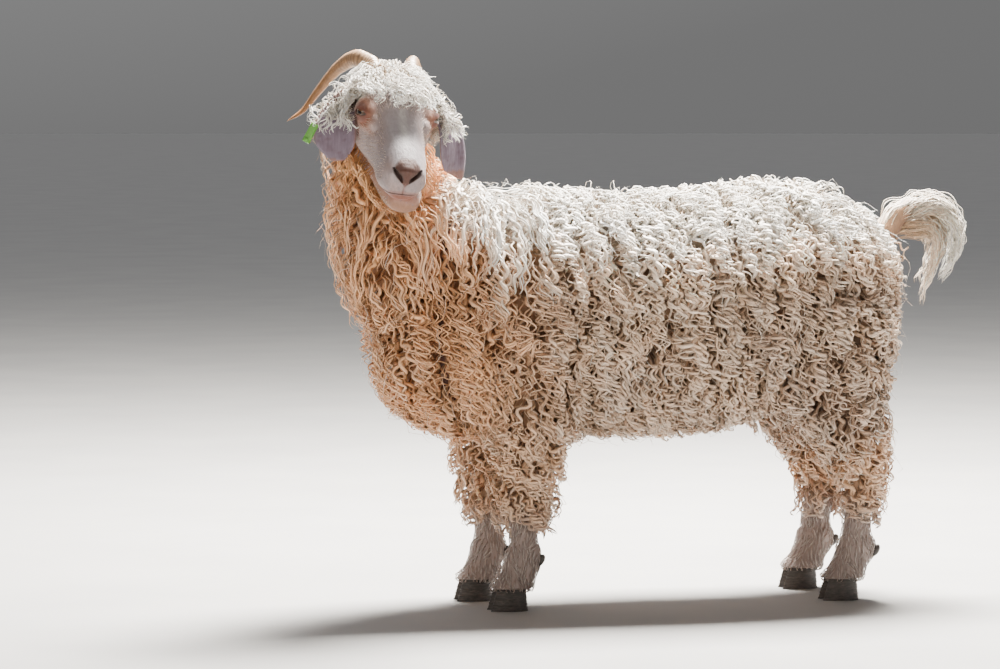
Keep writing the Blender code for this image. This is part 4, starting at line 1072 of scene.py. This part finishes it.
def coat_depths(points):
    """How deep the fleece is at places on the body, smoothly between the sections."""
    gaps = np.linalg.norm(points[:, None, :] - np.array(DEPTH_SPOTS)[None], axis=2) / np.array(DEPTH_SIZES)
    weights = 1 / (gaps**2 + 0.01) ** 3
    return (weights * np.array(DEPTHS)).sum(1) / weights.sum(1)


def lie_of(points, normals):
    """The way the coat lies: down, a little backwards, and to both sides from the spine."""
    way = np.zeros_like(points)
    way[:, 2] = -1
    way[:, 0] = (0.03 + 0.15 * soft_step(points[:, 0], -0.34, -0.22)
                 + 0.30 * soft_step(points[:, 0], 0.24, 0.36))
    top = soft_step(normals[:, 2], 0.30, 0.75)
    way[:, 1] = top * np.sign(points[:, 1] + 0.0001) * 0.9
    way[:, 0] += top * 0.35
    way -= normals * (way * normals).sum(1)[:, None]
    return way / np.maximum(np.linalg.norm(way, axis=1), 1e-9)[:, None]


def at_nape(points):
    return soft_step(points[:, 2], 0.66, 0.74) * soft_step(points[:, 0], -0.46, -0.42)


def turned(vectors, axes, angles):
    c, s = np.cos(angles)[:, None], np.sin(angles)[:, None]
    return vectors * c + np.cross(axes, vectors) * s


def scatter(mesh, spacing, allowed, seed, tries):
    """Roots spread evenly over the skin where they are allowed, with the skin's normals there."""
    draw = np.random.default_rng(seed)
    mesh.calc_loop_triangles()
    corners = np.empty(len(mesh.loop_triangles) * 3, np.int32)
    mesh.loop_triangles.foreach_get("vertices", corners)
    corners = corners.reshape(-1, 3)
    a, b, c = (skin_points[corners[:, k]] for k in range(3))
    cross = np.cross(b - a, c - a)
    area = np.linalg.norm(cross, axis=1)
    pick = draw.choice(len(area), tries, p=area / area.sum())
    r1, r2 = np.sqrt(draw.random(tries))[:, None], draw.random(tries)[:, None]
    points = a[pick] * (1 - r1) + b[pick] * (r1 * (1 - r2)) + c[pick] * (r1 * r2)
    weights = (1 - r1, r1 * (1 - r2), r1 * r2)
    normals = sum(skin_normals[corners[pick, k]] * weights[k] for k in range(3))
    normals /= np.maximum(np.linalg.norm(normals, axis=1), 1e-9)[:, None]
    keep = allowed(points, normals)
    points, normals = points[keep], normals[keep]
    cells, kept = {}, []
    spacings = spacing(points) if callable(spacing) else np.full(len(points), spacing)
    size = float(spacings.max()) if len(spacings) else 0.01
    for k, p in enumerate(points.tolist()):
        key = (int(p[0] // size), int(p[1] // size), int(p[2] // size))
        near = spacings[k] ** 2
        free = True
        for dx in (-1, 0, 1):
            for dy in (-1, 0, 1):
                for dz in (-1, 0, 1):
                    for q in cells.get((key[0] + dx, key[1] + dy, key[2] + dz), ()):
                        if (p[0] - q[0]) ** 2 + (p[1] - q[1]) ** 2 + (p[2] - q[2]) ** 2 < near:
                            free = False
                            break
                    if not free:
                        break
                if not free:
                    break
            if not free:
                break
        if free:
            cells.setdefault(key, []).append(p)
            kept.append(k)
    return points[kept], normals[kept]


def combed(roots, normals, reach, heights, swirl, way=lie_of, steps=9, rise_by=0.35, cling=2.0):
    """Guide lines that leave the skin, rise to a height above it and run on over it."""
    points = roots.copy()
    above = normals.copy()
    loose = np.zeros(len(roots), bool)
    lines, uppers = [roots - normals * 0.002], [normals.copy()]
    for k in range(1, steps + 1):
        t = k / steps
        direction = turned(way(points, above), above, swirl)
        direction[loose] = unit(direction[loose] * 0.6 + np.array((0, 0, -0.8)))
        stride = reach / steps * (0.55 + 0.45 * min(t / rise_by, 1))
        moved = points + direction * stride[:, None]
        rise = min(t / rise_by, 1)
        rise = rise * rise * (3 - 2 * rise)
        lift = heights * rise
        for n, p in enumerate(moved):
            spot, normal, _, gap = skin_tree.find_nearest(Vector(p))
            # Where the skin turns sharply away, as under the chin, the line hangs free of it
            loose[n] = gap > stride[n] * cling
            if not loose[n]:
                moved[n] = spot
                above[n] = above[n] * 0.45 + np.array(normal) * 0.55
        above /= np.linalg.norm(above, axis=1)[:, None]
        points = moved
        lines.append(moved + above * lift[:, None])
        uppers.append(above.copy())
    lines = np.stack(lines, 1)
    cut = loose & (at_nape(roots) > 0.2)
    lines[cut] = lines[cut, :1] + (lines[cut] - lines[cut, :1]) * 0.3
    return lines, np.stack(uppers, 1)


def along_curve(lines, places):
    """Points at the given shares of each line, on a smooth curve through its knots."""
    count = lines.shape[1]
    padded = np.concatenate([2 * lines[:, :1] - lines[:, 1:2], lines, 2 * lines[:, -1:] - lines[:, -2:-1]], 1)
    place = np.asarray(places) * (count - 1)
    k = np.minimum(place.astype(int), count - 2)
    t = (place - k)[None, :, None]
    p0, p1, p2, p3 = padded[:, k], padded[:, k + 1], padded[:, k + 2], padded[:, k + 3]
    return 0.5 * (2 * p1 + (p2 - p0) * t + (2 * p0 - 5 * p1 + 4 * p2 - p3) * t**2
                  + (3 * p1 - p0 - 3 * p2 + p3) * t**3)


def unit(vectors):
    return vectors / np.maximum(np.linalg.norm(vectors, axis=-1), 1e-9)[..., None]


def skin_map(points):
    """Where a place on the bare body lies on a flat map of it: each section of the body has a field."""
    spots = np.array(DEPTH_SPOTS)
    gaps = np.linalg.norm(points[:, None, :] - spots[None], axis=2) / np.array(DEPTH_SIZES)
    nearest = gaps.argmin(1)
    fields = len(spots)
    offset = points - spots[nearest]
    upright = np.where(nearest < len(TRUNK), np.arctan2(offset[:, 2], offset[:, 1]),
                       np.arctan2(offset[:, 1], offset[:, 0]))
    slope = np.where(nearest < len(TRUNK), offset[:, 0], offset[:, 2])
    across = (upright / (2 * math.pi) + 0.5) * 0.96 + 0.02
    down = (nearest + 0.5 + np.clip(slope / 0.16, -0.42, 0.42)) / fields
    return np.stack([across, down * 0.96 + 0.02], 1)


def strands(name, paths, uppers, widths, thicks, colours, roots):
    """Joined closed strands of three sides, each with a pointed end, as one piece of coat."""
    count, rows = paths.shape[:2]
    along = unit(np.gradient(paths, axis=1))
    across = unit(np.cross(along, uppers))
    lift = np.cross(across, along)
    rings = []
    for angle in (math.pi / 2, math.pi * 7 / 6, math.pi * 11 / 6):
        rings.append(paths + across * (widths * math.cos(angle))[..., None]
                     + lift * (thicks * math.sin(angle))[..., None])
    body_points = np.stack(rings, 2)[:, :-1].reshape(count, -1, 3)
    points = np.concatenate([body_points, paths[:, -1:]], 1)
    per = points.shape[1]
    faces, starts, total = [], [], 0
    for row in range(rows - 2):
        for k in range(3):
            n = (k + 1) % 3
            faces += [row * 3 + k, row * 3 + n, row * 3 + 3 + n, row * 3 + 3 + k]
            starts.append(total)
            total += 4
    top = (rows - 2) * 3
    for k in range(3):
        faces += [top + k, top + (k + 1) % 3, per - 1]
        starts.append(total)
        total += 3
    faces += [2, 1, 0]
    starts.append(total)
    total += 3
    shifts = np.arange(count)[:, None]
    loops = (np.array(faces)[None] + shifts * per).ravel()
    begins = (np.array(starts)[None] + shifts * total).ravel()
    mesh = bpy.data.meshes.new(name)
    mesh.vertices.add(count * per)
    mesh.vertices.foreach_set("co", points.ravel())
    mesh.loops.add(len(loops))
    mesh.loops.foreach_set("vertex_index", loops.astype(np.int32))
    mesh.polygons.add(len(begins))
    mesh.polygons.foreach_set("loop_start", begins.astype(np.int32))
    mesh.update(calc_edges=True)
    share = np.concatenate([np.repeat(np.linspace(0, 1, rows)[:-1], 3), [1.0]])
    turn = np.concatenate([np.tile([0.0, 0.5, 1.0], rows - 1), [0.5]])
    patch = skin_map(roots)[:, None, :] + np.stack([(turn - 0.5) * 0.003, (share - 0.5) * 0.003], 1)[None]
    fibre = np.stack([np.broadcast_to(turn, (count, per)) + np.arange(count)[:, None] * 3.17,
                      np.broadcast_to(share, (count, per)) * 6], 2)
    for label, place in (("OFBake", patch.reshape(-1, 2)), ("fibres", fibre.reshape(-1, 2))):
        layer = mesh.uv_layers.new(name=label)
        layer.data.foreach_set("uv", place[loops].astype(np.float32).ravel())
    tones = np.concatenate([np.repeat(colours[:, :-1], 3, axis=1), colours[:, -1:]], 1)
    lay_colours(mesh, tones.reshape(-1, 3))
    obj = bpy.data.objects.new(name, mesh)
    bpy.context.scene.collection.objects.link(obj)
    obj.data.materials.append(mohair.look)
    put_in_place(obj, slot="wool")
    print(name, count, "strands", count * ((rows - 2) * 6 + 4), "triangles")
    return obj


mohair = Recipe("mohair", 0.46, Sheen_Weight=0.12, Sheen_Roughness=0.4, Specular_IOR_Level=0.5)
fibre_lines = mohair.grain(1.0, 4, 0.72, (3.6, 0.4, 1), uv="fibres")
mohair.painted(mohair.ramp(fibre_lines, (0.40, 0.57), (0.40, 1.18)))
mohair.both_bumps(fibre_lines, 0.0016, mohair.grain(30, 2), 0.0006)


def curled(lines, uppers, places, owner, wave, size, phase, draw, grip=0.22, flat=0.6, wild=0.4,
           together=0.3):
    """Strand paths: the guide lines with an uneven coil of the given size and wave length wound on them."""
    paths = along_curve(lines, places)
    over = unit(along_curve(uppers, places))
    along = unit(np.gradient(paths, axis=1))
    side = unit(np.cross(along, over))
    lengths = np.linalg.norm(np.diff(paths, axis=1), axis=2)
    run = np.concatenate([np.zeros((len(paths), 1)), np.cumsum(lengths, 1)], 1)
    t = np.asarray(places)[None]
    own = draw.uniform(0, 2 * math.pi, (4, int(owner.max()) + 1, 1))[:, owner]
    own = own + draw.normal(0, together, (4, len(paths), 1))
    turn = run / wave[:, None] * 2 * math.pi + phase[:, None]
    turn = turn + wild * 1.6 * np.sin(turn * 0.37 + own[0])
    growth = soft_step(t, 0.10, 0.10 + grip) * size[:, None] * (1 + 0.30 * soft_step(t, 0.7, 1))
    growth = growth * (1 + wild * 0.7 * np.sin(turn * 0.45 + own[1]))
    sway = np.cos(turn) + wild * 1.3 * np.cos(turn * 0.41 + own[2])
    rise = np.sin(turn) * flat + wild * 0.8 * np.cos(turn * 0.53 + own[3])
    return paths + side * (sway * growth)[..., None] + over * (rise * growth)[..., None], over


def locks_of(roots, lock_gap):
    """Which lock each root belongs to, with a root at the middle of each lock."""
    cells, middles = {}, []
    for k, p in enumerate(roots.tolist()):
        key = tuple(int(v // lock_gap) for v in p)
        near = [q for dx in (-1, 0, 1) for dy in (-1, 0, 1) for dz in (-1, 0, 1)
                for q in cells.get((key[0] + dx, key[1] + dy, key[2] + dz), ())]
        if all((p[0] - q[0]) ** 2 + (p[1] - q[1]) ** 2 + (p[2] - q[2]) ** 2 > lock_gap**2 for q in near):
            cells.setdefault(key, []).append(p)
            middles.append(k)
    tree = KDTree(len(middles))
    for k, m in enumerate(middles):
        tree.insert(Vector(roots[m]), k)
    tree.balance()
    owner = np.array([tree.find(Vector(p))[1] for p in roots])
    return owner, np.array(middles)


def dressed(name, roots, normals, lines, uppers, owner, lead, draw, rows, wave, size, width, gather=0.6,
            tip_flick=0.0, tint=None, shade_draw=0.09, deep=0.60, flat=0.6, grip=0.22, wild=0.4,
            base_share=0.22, together=0.3, bleach=0.35, broad=0.0, calm=None):
    """Draws the lines of each lock together, winds the curls on them and builds the strands."""
    count = len(roots)
    locks = int(owner.max()) + 1
    t = np.linspace(0, 1, lines.shape[1])[None, :, None]
    own_pull = gather * draw.uniform(0.6, 1.1, count)[:, None, None]
    lines = lines + (lines[lead] - lines) * own_pull * soft_step(t, 0.10, 0.9)
    places = np.concatenate([np.linspace(0, base_share, 4)[:-1], np.linspace(base_share, 1, rows - 3)])
    # Where the coat is calm, the waves are long and shallow
    still = calm(roots) if calm else np.zeros(count)
    lock_wave = wave * draw.uniform(0.78, 1.25, locks)
    lock_phase = draw.uniform(0, 2 * math.pi, locks)
    phase = lock_phase[owner] + draw.normal(0, together, count)
    sizes = size * draw.uniform(0.7, 1.35, locks)[owner] * draw.uniform(0.85, 1.15, count)
    paths, over = curled(lines, uppers, places, owner, lock_wave[owner] * draw.uniform(0.97, 1.03, count)
                         * (1 + 0.5 * still), sizes * (1 - 0.62 * still), phase, draw, grip, flat,
                         wild, together)
    flick = (soft_step(places, 0.75, 1.0)[None, :, None] * draw.uniform(-0.4, 1.0, count)[:, None, None]
             * tip_flick)
    paths = paths + over * flick
    profile = np.interp(places, (0, 0.12, 0.30, 0.70, 0.90, 1), (0.6, 0.9, 1.0, 0.95, 0.7, 0.25))
    # Some strands of each lock are broad bands of fibre that close it up
    wide = np.where(draw.random(count) < broad, 2.1, 1.0)
    widths = width * draw.uniform(0.7, 1.3, count)[:, None] * profile[None]
    thicks = widths * 0.52
    widths = widths * wide[:, None]
    base = goat_colours(roots, normals)[0] if tint is None else np.broadcast_to(tint, roots.shape)
    lock_bright = draw.normal(0, shade_draw * 0.8, locks)
    shade = (1 + lock_bright[owner] + draw.normal(0, shade_draw, count)) * np.where(wide > 1, 0.88, 1.0)
    # Roots are darker and warmer than the paler tips: painted shade deep in the fleece and painted warm
    # bounce light among the fibres
    depth = np.interp(places, (0, 0.25, 0.5, 1.0), (deep, 0.45 + deep / 2, 1.0, 1.08))
    colours = base[:, None, :] * (shade[:, None] * depth[None])[..., None]
    colours = colours * (1 - np.interp(places, (0, 0.6), (1, 0))[None, :, None] * np.array((0.0, 0.12, 0.24)))
    bleached = (bleach * np.interp(places, (0.25, 0.9), (0.0, 1.0)))[None] * (
        draw.uniform(0.4, 1.2, count)[:, None])
    colours = colours + (np.array(WHITE) - colours) * np.clip(bleached, 0, 1)[..., None]
    return strands(name, paths, over, widths, thicks, colours, roots)


def fleece(name, allowed, seed, spacing, rows, reach, wave, size, width, lock_gap=0.022, tries=60000,
           height=1.0, height_draw=0.18, way=lie_of, depth=coat_depths, rise_by=0.35, stray=0.10,
           cling=2.0, shorter=None, **rest):
    """One piece of coat over part of the skin: roots, locks and lines, then curls and colours."""
    draw = np.random.default_rng(seed)
    roots, normals = scatter(skin_mesh, spacing, allowed, seed, tries)
    count = len(roots)
    owner, middles = locks_of(roots, lock_gap)
    lead = middles[owner]
    apart = np.linalg.norm(roots - roots[lead], axis=1)
    lock_swirl = draw.normal(0, 0.22, len(middles)) + 0.35 * mottle(roots[middles], 7, seed)
    lock_reach = reach * draw.uniform(0.80, 1.15, len(middles))
    lock_height = draw.uniform(1 - height_draw, 1, len(middles))
    lift = height * lock_height[owner] * (1 - 0.25 * np.clip(apart / lock_gap, 0, 1) ** 2)
    lift = lift * draw.uniform(0.85, 1, count)
    swirl = lock_swirl[owner] + draw.normal(0, stray, count)
    lengths = lock_reach[owner] * draw.uniform(0.85, 1.08, count) * (shorter(roots) if shorter else 1)
    lines, uppers = combed(roots, normals, lengths, depth(roots) * lift, swirl, way, rise_by=rise_by,
                           cling=cling)
    return dressed(name, roots, normals, lines, uppers, owner, lead, draw, rows, wave, size, width, **rest)


def wool_zone(points):
    """Where the long fleece grows: not on the face, the ears, the tail or below the knees."""
    local = into_head(points)
    a, b, c = local[:, 0], np.abs(local[:, 1]), local[:, 2]
    beside_jaw = (b > 0.080) & (b < 0.100)
    beside_ear = (b > 0.100) & (b < 0.150)
    lowest = np.where(beside_jaw, -0.084, np.where(beside_ear, -0.128, -0.105))
    at_head = (a > np.where(c > -0.04, -0.036, -0.022)) & (c > lowest) & (b < 0.15) & (c < 0.12)
    at_tail = np.linalg.norm(points - np.array((0.432, 0, 0.645)), axis=1) < 0.052
    between_legs = (np.abs(points[:, 1]) < 0.02) & (points[:, 2] < 0.30)
    return (points[:, 2] > WOOL_END) & ~at_head & ~at_tail & ~between_legs


def stretch(low_x, high_x, side=0, low_z=0.0):
    """The part of the fleece between two places along the goat, on one side or both."""
    def allowed(points, normals):
        keep = wool_zone(points) & (points[:, 0] >= low_x) & (points[:, 0] < high_x) & (points[:, 2] > low_z)
        return keep & (points[:, 1] * side >= 0) if side else keep
    return allowed


SHOULDER_X, LOIN_X = -0.235, 0.10
COARSE = 1.0
FLANK_GAP = 0.0086 * COARSE ** 0.5
TRUNK_LOCKS = dict(rows=20, width=0.0019, lock_gap=0.022, bleach=0.25, broad=0.35, tip_flick=0.008,
                   base_share=0.26, height_draw=0.32, deep=0.42, tries=90000)
for label, side in (("left", LEFT), ("right", RIGHT)):
    fleece(f"fleece_flank_{label}", stretch(SHOULDER_X, LOIN_X, side), seed=31 + side, spacing=FLANK_GAP,
           reach=0.056, wave=0.0215, size=0.0050, **TRUNK_LOCKS)
    fleece(f"fleece_rump_{label}", stretch(LOIN_X, 0.60, side), seed=41 + side, spacing=FLANK_GAP,
           reach=0.058, wave=0.0220, size=0.0051, **TRUNK_LOCKS)

# The mane of the neck and chest is longer and more open: golden locks, their gold partly painted warm
# bounce light, in wide S-curls that hang from the throat to the knees.
NECK_GAP = 0.0098 * COARSE ** 0.5


def lie_of_neck(points, normals):
    way = lie_of(points, normals)
    way[:, 0] -= 0.35 * at_nape(points)
    way -= normals * (way * normals).sum(1)[:, None]
    return unit(way)


def neck_depths(points):
    return coat_depths(points) * (1 - 0.50 * at_nape(points))


for label, side in (("left", LEFT), ("right", RIGHT)):
    fleece(f"fleece_neck_{label}", stretch(-0.70, SHOULDER_X, side, 0.34), seed=51 + side, spacing=NECK_GAP,
           rows=30, reach=0.094, wave=0.0275, size=0.0068, width=0.0017, lock_gap=0.025, way=lie_of_neck,
           depth=neck_depths, tip_flick=0.006, wild=0.3, deep=0.42,
           shorter=lambda p: 1 - 0.55 * at_nape(p), bleach=0.12, height_draw=0.30, broad=0.22,
           calm=lambda p: soft_step(p[:, 2], 0.52, 0.66))
fleece("fleece_forelegs", lambda p, n: stretch(-0.70, SHOULDER_X)(p, n) & (p[:, 2] <= 0.34), seed=55,
       spacing=0.0074 * COARSE ** 0.5, rows=18, reach=0.052, wave=0.0215, size=0.0046, width=0.0018,
       lock_gap=0.021, depth=lambda p: coat_depths(p) * 0.9, tip_flick=0.005, deep=0.45, bleach=0.15,
       broad=0.35, tries=90000)

# Under the locks lies a denser layer of broad strands, which closes the gaps between them; it is darker,
# with painted shade beneath the locks. It is short at the nape, as the locks are there.
fleece("undercoat", stretch(-0.70, 0.60), seed=61, spacing=0.0195 * COARSE ** 0.5, rows=11, reach=0.060,
       wave=0.024, size=0.0040, width=0.0052, height=0.55, lock_gap=0.03, tries=30000, gather=0.2,
       deep=0.32, bleach=0.0, shorter=lambda p: 1 - 0.5 * at_nape(p))

# Fine loose hairs, each a single pale strand, stand a little clear of the locks all over the fleece
# and soften the outline.
fleece("stray_hairs", stretch(-0.70, 0.60), seed=63, spacing=0.0245 * COARSE ** 0.5, rows=10,
       reach=0.062, wave=0.048, size=0.0055, width=0.0005, height=1.08, height_draw=0.12, lock_gap=0.03,
       tries=30000, gather=0.0, wild=0.7, together=3.0, flat=0.9, tip_flick=0.014, depth=neck_depths,
       shorter=lambda p: 1 - 0.5 * at_nape(p), bleach=0.8, deep=0.9)

# The crown carries a bonnet of small white curls, which falls over the brow and the roots of the ears.
CROWN = (0.010, 0.0, 0.045)
BONNET_END = 0.083


def lie_of_bonnet(points, normals):
    """Away from the poll and down."""
    way = unit(points - into_world([CROWN])[0]) * 0.8 + np.array((0, 0, -0.75))
    way -= normals * (way * normals).sum(1)[:, None]
    return unit(way)


def in_bonnet(points, normals):
    a, b, c = into_head(points).T
    edge = BONNET_END - 0.85 * np.maximum(np.abs(b) - 0.008, 0)
    cap = (a > -0.045) & (a < edge) & (c > -0.018) & (np.abs(b) < 0.085)
    return cap & (points[:, 2] > 0.75)


def on_ear(points, normals, low, high, faces):
    keep = np.zeros(len(points), bool)
    for side in (LEFT, RIGHT):
        share, u, height, front, inside = ear_place(points, side)
        facing = (normals * front).sum(1)
        keep |= inside & (share > low) & (share < high) & (facing > -2 if faces == "both" else facing < 0.2)
    return keep


fleece("bonnet", in_bonnet, seed=71, spacing=0.0031 * COARSE ** 0.5, rows=16, reach=0.046, wave=0.0220,
       size=0.0030, width=0.0008, lock_gap=0.013, broad=0.25, tries=900000,
       depth=lambda p: np.full(len(p), 0.029), way=lie_of_bonnet, gather=0.45, stray=0.25,
       tip_flick=0.010, deep=0.60, height_draw=0.35, bleach=0.6, tint=np.array(WHITE),
       shorter=lambda p: 1 - 0.5 * blot(into_head(p), (0.0, 0.0, 0.05), (0.03, 0.03, 0.03)))
fleece("ear_locks", lambda p, n: on_ear(p, n, 0.0, 0.40, "both"), seed=73, spacing=0.0036 * COARSE ** 0.5,
       rows=16, reach=0.036, wave=0.0220, size=0.0028, width=0.0008, broad=0.25, lock_gap=0.013,
       tries=500000, depth=lambda p: np.full(len(p), 0.020), way=lie_of_bonnet, gather=0.4, stray=0.25,
       tip_flick=0.008, deep=0.65, bleach=0.5, tint=np.array(WHITE))

# The tail stands up and carries a plume: long soft locks that rise with it, turn over and hang behind.
TAIL_LOCKS, TAIL_STRANDS = 44, 8
# The arc of the plume: x, z, and half its depth and its width there
PLUME = ((0.395, 0.592, 0.024, 0.022), (0.425, 0.626, 0.032, 0.024), (0.460, 0.642, 0.034, 0.026),
         (0.494, 0.645, 0.033, 0.028), (0.517, 0.618, 0.025, 0.028), (0.510, 0.577, 0.023, 0.024),
         (0.492, 0.537, 0.017, 0.017), (0.484, 0.499, 0.005, 0.006))


def tail_plume():
    draw = np.random.default_rng(81)
    roots, lines, owner, inner = [], [], [], []
    for k in range(TAIL_LOCKS):
        begin = 0.40 * (k // 4) / (TAIL_LOCKS // 4 - 1) + draw.uniform(-0.01, 0.01)
        span = draw.uniform(0.34, 0.60)
        reach = min(begin + span, 1.0)
        height, aside = draw.uniform(-0.9, 1.0), (k % 4 - 1.5) / 1.5 * 0.8 + draw.uniform(-0.2, 0.2)
        for n in range(TAIL_STRANDS):
            share = np.linspace(max(begin, 0), min(reach + draw.uniform(-0.03, 0.03), 1.0), 12)
            x, z, deep, wide = along_curve(np.array(PLUME)[None], share)[0].T
            step = np.gradient(np.stack([x, z], 1), axis=0)
            step /= np.linalg.norm(step, axis=1)[:, None]
            out = soft_step(np.linspace(0, 1, 12), 0.0, 0.35)
            h = (height + draw.normal(0, 0.22)) * deep * (0.35 + 0.65 * out)
            s = (aside + draw.normal(0, 0.20)) * wide * (0.35 + 0.65 * out)
            fall = 0.020 * np.linspace(0, 1, 12) ** 2 * (1 if height < -0.2 else 0.2)
            lines.append(np.stack([x - step[:, 1] * h - fall * 0.6, s, z + step[:, 0] * h - fall], 1))
            roots.append(lines[-1][0])
            owner.append(k)
            inner.append(height < -0.35)
    roots, lines, owner, inner = np.array(roots), np.array(lines), np.array(owner), np.array(inner)
    lead = np.arange(0, len(roots), TAIL_STRANDS)[owner]
    along = unit(np.gradient(lines, axis=1))
    uppers = unit(np.cross(along, np.broadcast_to(np.array((0.0, 1.0, 0.15)), along.shape)))
    tint = np.where(inner[:, None], np.array((0.84, 0.66, 0.48)), np.array((0.95, 0.88, 0.78)))
    dressed("tail_plume", roots, np.tile((0.0, 0.0, 1.0), (len(roots), 1)), lines, uppers, owner, lead,
            draw, rows=24, wave=0.042, size=0.0026, width=0.0013, gather=0.5, tint=tint, flat=0.8,
            wild=0.5, deep=0.8, together=0.5)


tail_plume()

# Short flat hair covers the legs below the wool. It lies down along the bone, and it is longer above
# the hooves and where it runs up into the wool.


def lie_down_leg(points, normals):
    way = np.zeros_like(points)
    way[:, 2] = -1
    way -= normals * (way * normals).sum(1)[:, None] * 0.9
    return unit(way)


def shank_depth(points):
    return (0.0035 + 0.004 * soft_step(0.060 - points[:, 2], 0.0, 0.02)
            + 0.004 * soft_step(points[:, 2], 0.13, 0.17))


fleece("leg_hair", lambda p, n: (p[:, 2] < WOOL_END + 0.02) & (p[:, 2] > 0.036), seed=91,
       spacing=0.0057 * COARSE ** 0.5, rows=6, reach=0.020, wave=0.03, size=0.0006, width=0.0013,
       lock_gap=0.012, tries=900000, depth=shank_depth, way=lie_down_leg, gather=0.3, stray=0.15, deep=0.85)

# The face has the shortest hair, lying back from the nose over the cheeks, with a fuller fringe below
# the jaw that runs into the throat.


def lie_of_face(points, normals):
    way = np.tile(np.array(HEAD_TURN @ Vector((-1, 0, 0))), (len(points), 1)) + np.array((0, 0, -0.5))
    way -= normals * (way * normals).sum(1)[:, None]
    return unit(way)


def on_short_face(points, normals):
    local = into_head(points)
    a, b, c = local[:, 0], np.abs(local[:, 1]), local[:, 2]
    eyes = np.minimum(*[np.linalg.norm(local - np.array(on_side(EYE, side)), axis=1)
                        for side in (LEFT, RIGHT)])
    pad = (a + 0.30 * c > 0.192) & (c > -0.04)
    lips = blot(np.stack([a, b, c], 1), (0.205, 0, -0.05), (0.02, 0.03, 0.008)) > 0.3
    edge = (b > 0.030) | (c < -0.058) | ((c > 0.03) & (a < 0.10))
    keep = (a > 0.045) & (a < 0.200) & (b < 0.075) & (np.abs(c) < 0.10) & (eyes > 0.022) & ~pad & ~lips
    return keep & edge & (points[:, 2] > 0.6) & ~on_ear(points, normals, 0.0, 1.1, "both")


fleece("face_hair", on_short_face, seed=95, spacing=0.0048 * COARSE ** 0.5, rows=5, reach=0.011,
       wave=0.03, size=0.0002, width=0.0006, lock_gap=0.012, tries=900000,
       depth=lambda p: np.full(len(p), 0.0005), way=lie_of_face, gather=0.1, stray=0.15, deep=1.15,
       bleach=0.0, tint=(0.62, 0.52, 0.47))


def under_jaw(points, normals):
    local = into_head(points)
    a, b, c = local[:, 0], np.abs(local[:, 1]), local[:, 2]
    return (a > 0.02) & (a < 0.135) & (b < 0.068) & (c < -0.045) & (c > -0.12) & (points[:, 2] > 0.6)


def hanging(points, normals):
    way = np.tile((0.05, 0.0, -1.0), (len(points), 1))
    return unit(way - normals * (way * normals).sum(1)[:, None] * 0.6)


# The throat locks are tinted deep gold: partly their own tone, partly painted warm bounce light and the shade
# under the jaw.
fleece("throat_locks", under_jaw, seed=97, spacing=0.0064 * COARSE ** 0.5, rows=22, reach=0.074,
       wave=0.034, size=0.0034, width=0.0016, lock_gap=0.018, tries=300000,
       depth=lambda p: np.full(len(p), 0.020), way=hanging, gather=0.4, stray=0.2,
       tint=np.array((0.84, 0.44, 0.18)), wild=0.3, bleach=0.12)

# The floor is a plain pale disc, and the light is soft: a broad sky and a lamp from above and behind,
# as in the open, with two large weak lamps on the camera's side.
FLOOR_RADIUS, FLOOR_SIDES = 70, 96
turns = np.linspace(0, 2 * math.pi, FLOOR_SIDES, endpoint=False)
floor_mesh = bpy.data.meshes.new("floor")
floor_mesh.from_pydata([(FLOOR_RADIUS * math.cos(t), FLOOR_RADIUS * math.sin(t), 0) for t in turns], [],
                       [list(range(FLOOR_SIDES))])
floor = bpy.data.objects.new("floor", floor_mesh)
bpy.context.scene.collection.objects.link(floor)
ground = Recipe("studio_floor", 0.8)
ground.wire(ground.ramp(ground.grain(3, 2), (0.3, (0.30, 0.295, 0.29)), (0.7, (0.33, 0.324, 0.316))),
            ground.shader.inputs["Base Color"])
floor.data.materials.append(ground.look)
world = bpy.data.worlds.new("studio")
bpy.context.scene.world = world
world.use_nodes = True
sky = world.node_tree.nodes["Background"]
direction = world.node_tree.nodes.new("ShaderNodeTexCoord")
height = world.node_tree.nodes.new("ShaderNodeSeparateXYZ")
shades = world.node_tree.nodes.new("ShaderNodeValToRGB")
tilt = world.node_tree.nodes.new("ShaderNodeMapping")
tilt.inputs["Rotation"].default_value = (math.radians(40), 0, 0)
world.node_tree.links.new(direction.outputs["Generated"], tilt.inputs["Vector"])
world.node_tree.links.new(tilt.outputs["Vector"], height.inputs["Vector"])
world.node_tree.links.new(height.outputs["Z"], shades.inputs["Fac"])
world.node_tree.links.new(shades.outputs["Color"], sky.inputs["Color"])
shades.color_ramp.elements[0].color = (0.075, 0.072, 0.070, 1)
shades.color_ramp.elements[1].color = (0.96, 0.97, 1.0, 1)
for position, level in ((0.40, 0.09), (0.62, 0.122), (0.70, 0.20)):
    shades.color_ramp.elements.new(position).color = (level, level, level, 1)
sky.inputs["Strength"].default_value = 1.45


def softbox(name, place, size, power, tint, aim=(0, 0, 0.45)):
    light = bpy.data.lights.new(name, "AREA")
    light.shape = "RECTANGLE"
    light.size, light.size_y = size
    light.energy = power
    light.color = tint
    obj = bpy.data.objects.new(name, light)
    bpy.context.scene.collection.objects.link(obj)
    obj.location = place
    obj.rotation_euler = (Vector(place) - Vector(aim)).to_track_quat("Z", "Y").to_euler()


softbox("sky_behind", (0.50, 1.00, 3.1), (1.2, 1.2), 1900, (1.0, 0.96, 0.90), (0.50, 0.95, 0))
softbox("front_left", (-2.6, -3.0, 1.9), (2.2, 1.8), 42, (1.0, 0.90, 0.78))
softbox("front_right", (2.4, -3.2, 1.4), (2.2, 1.8), 16, (0.96, 0.97, 1.0))
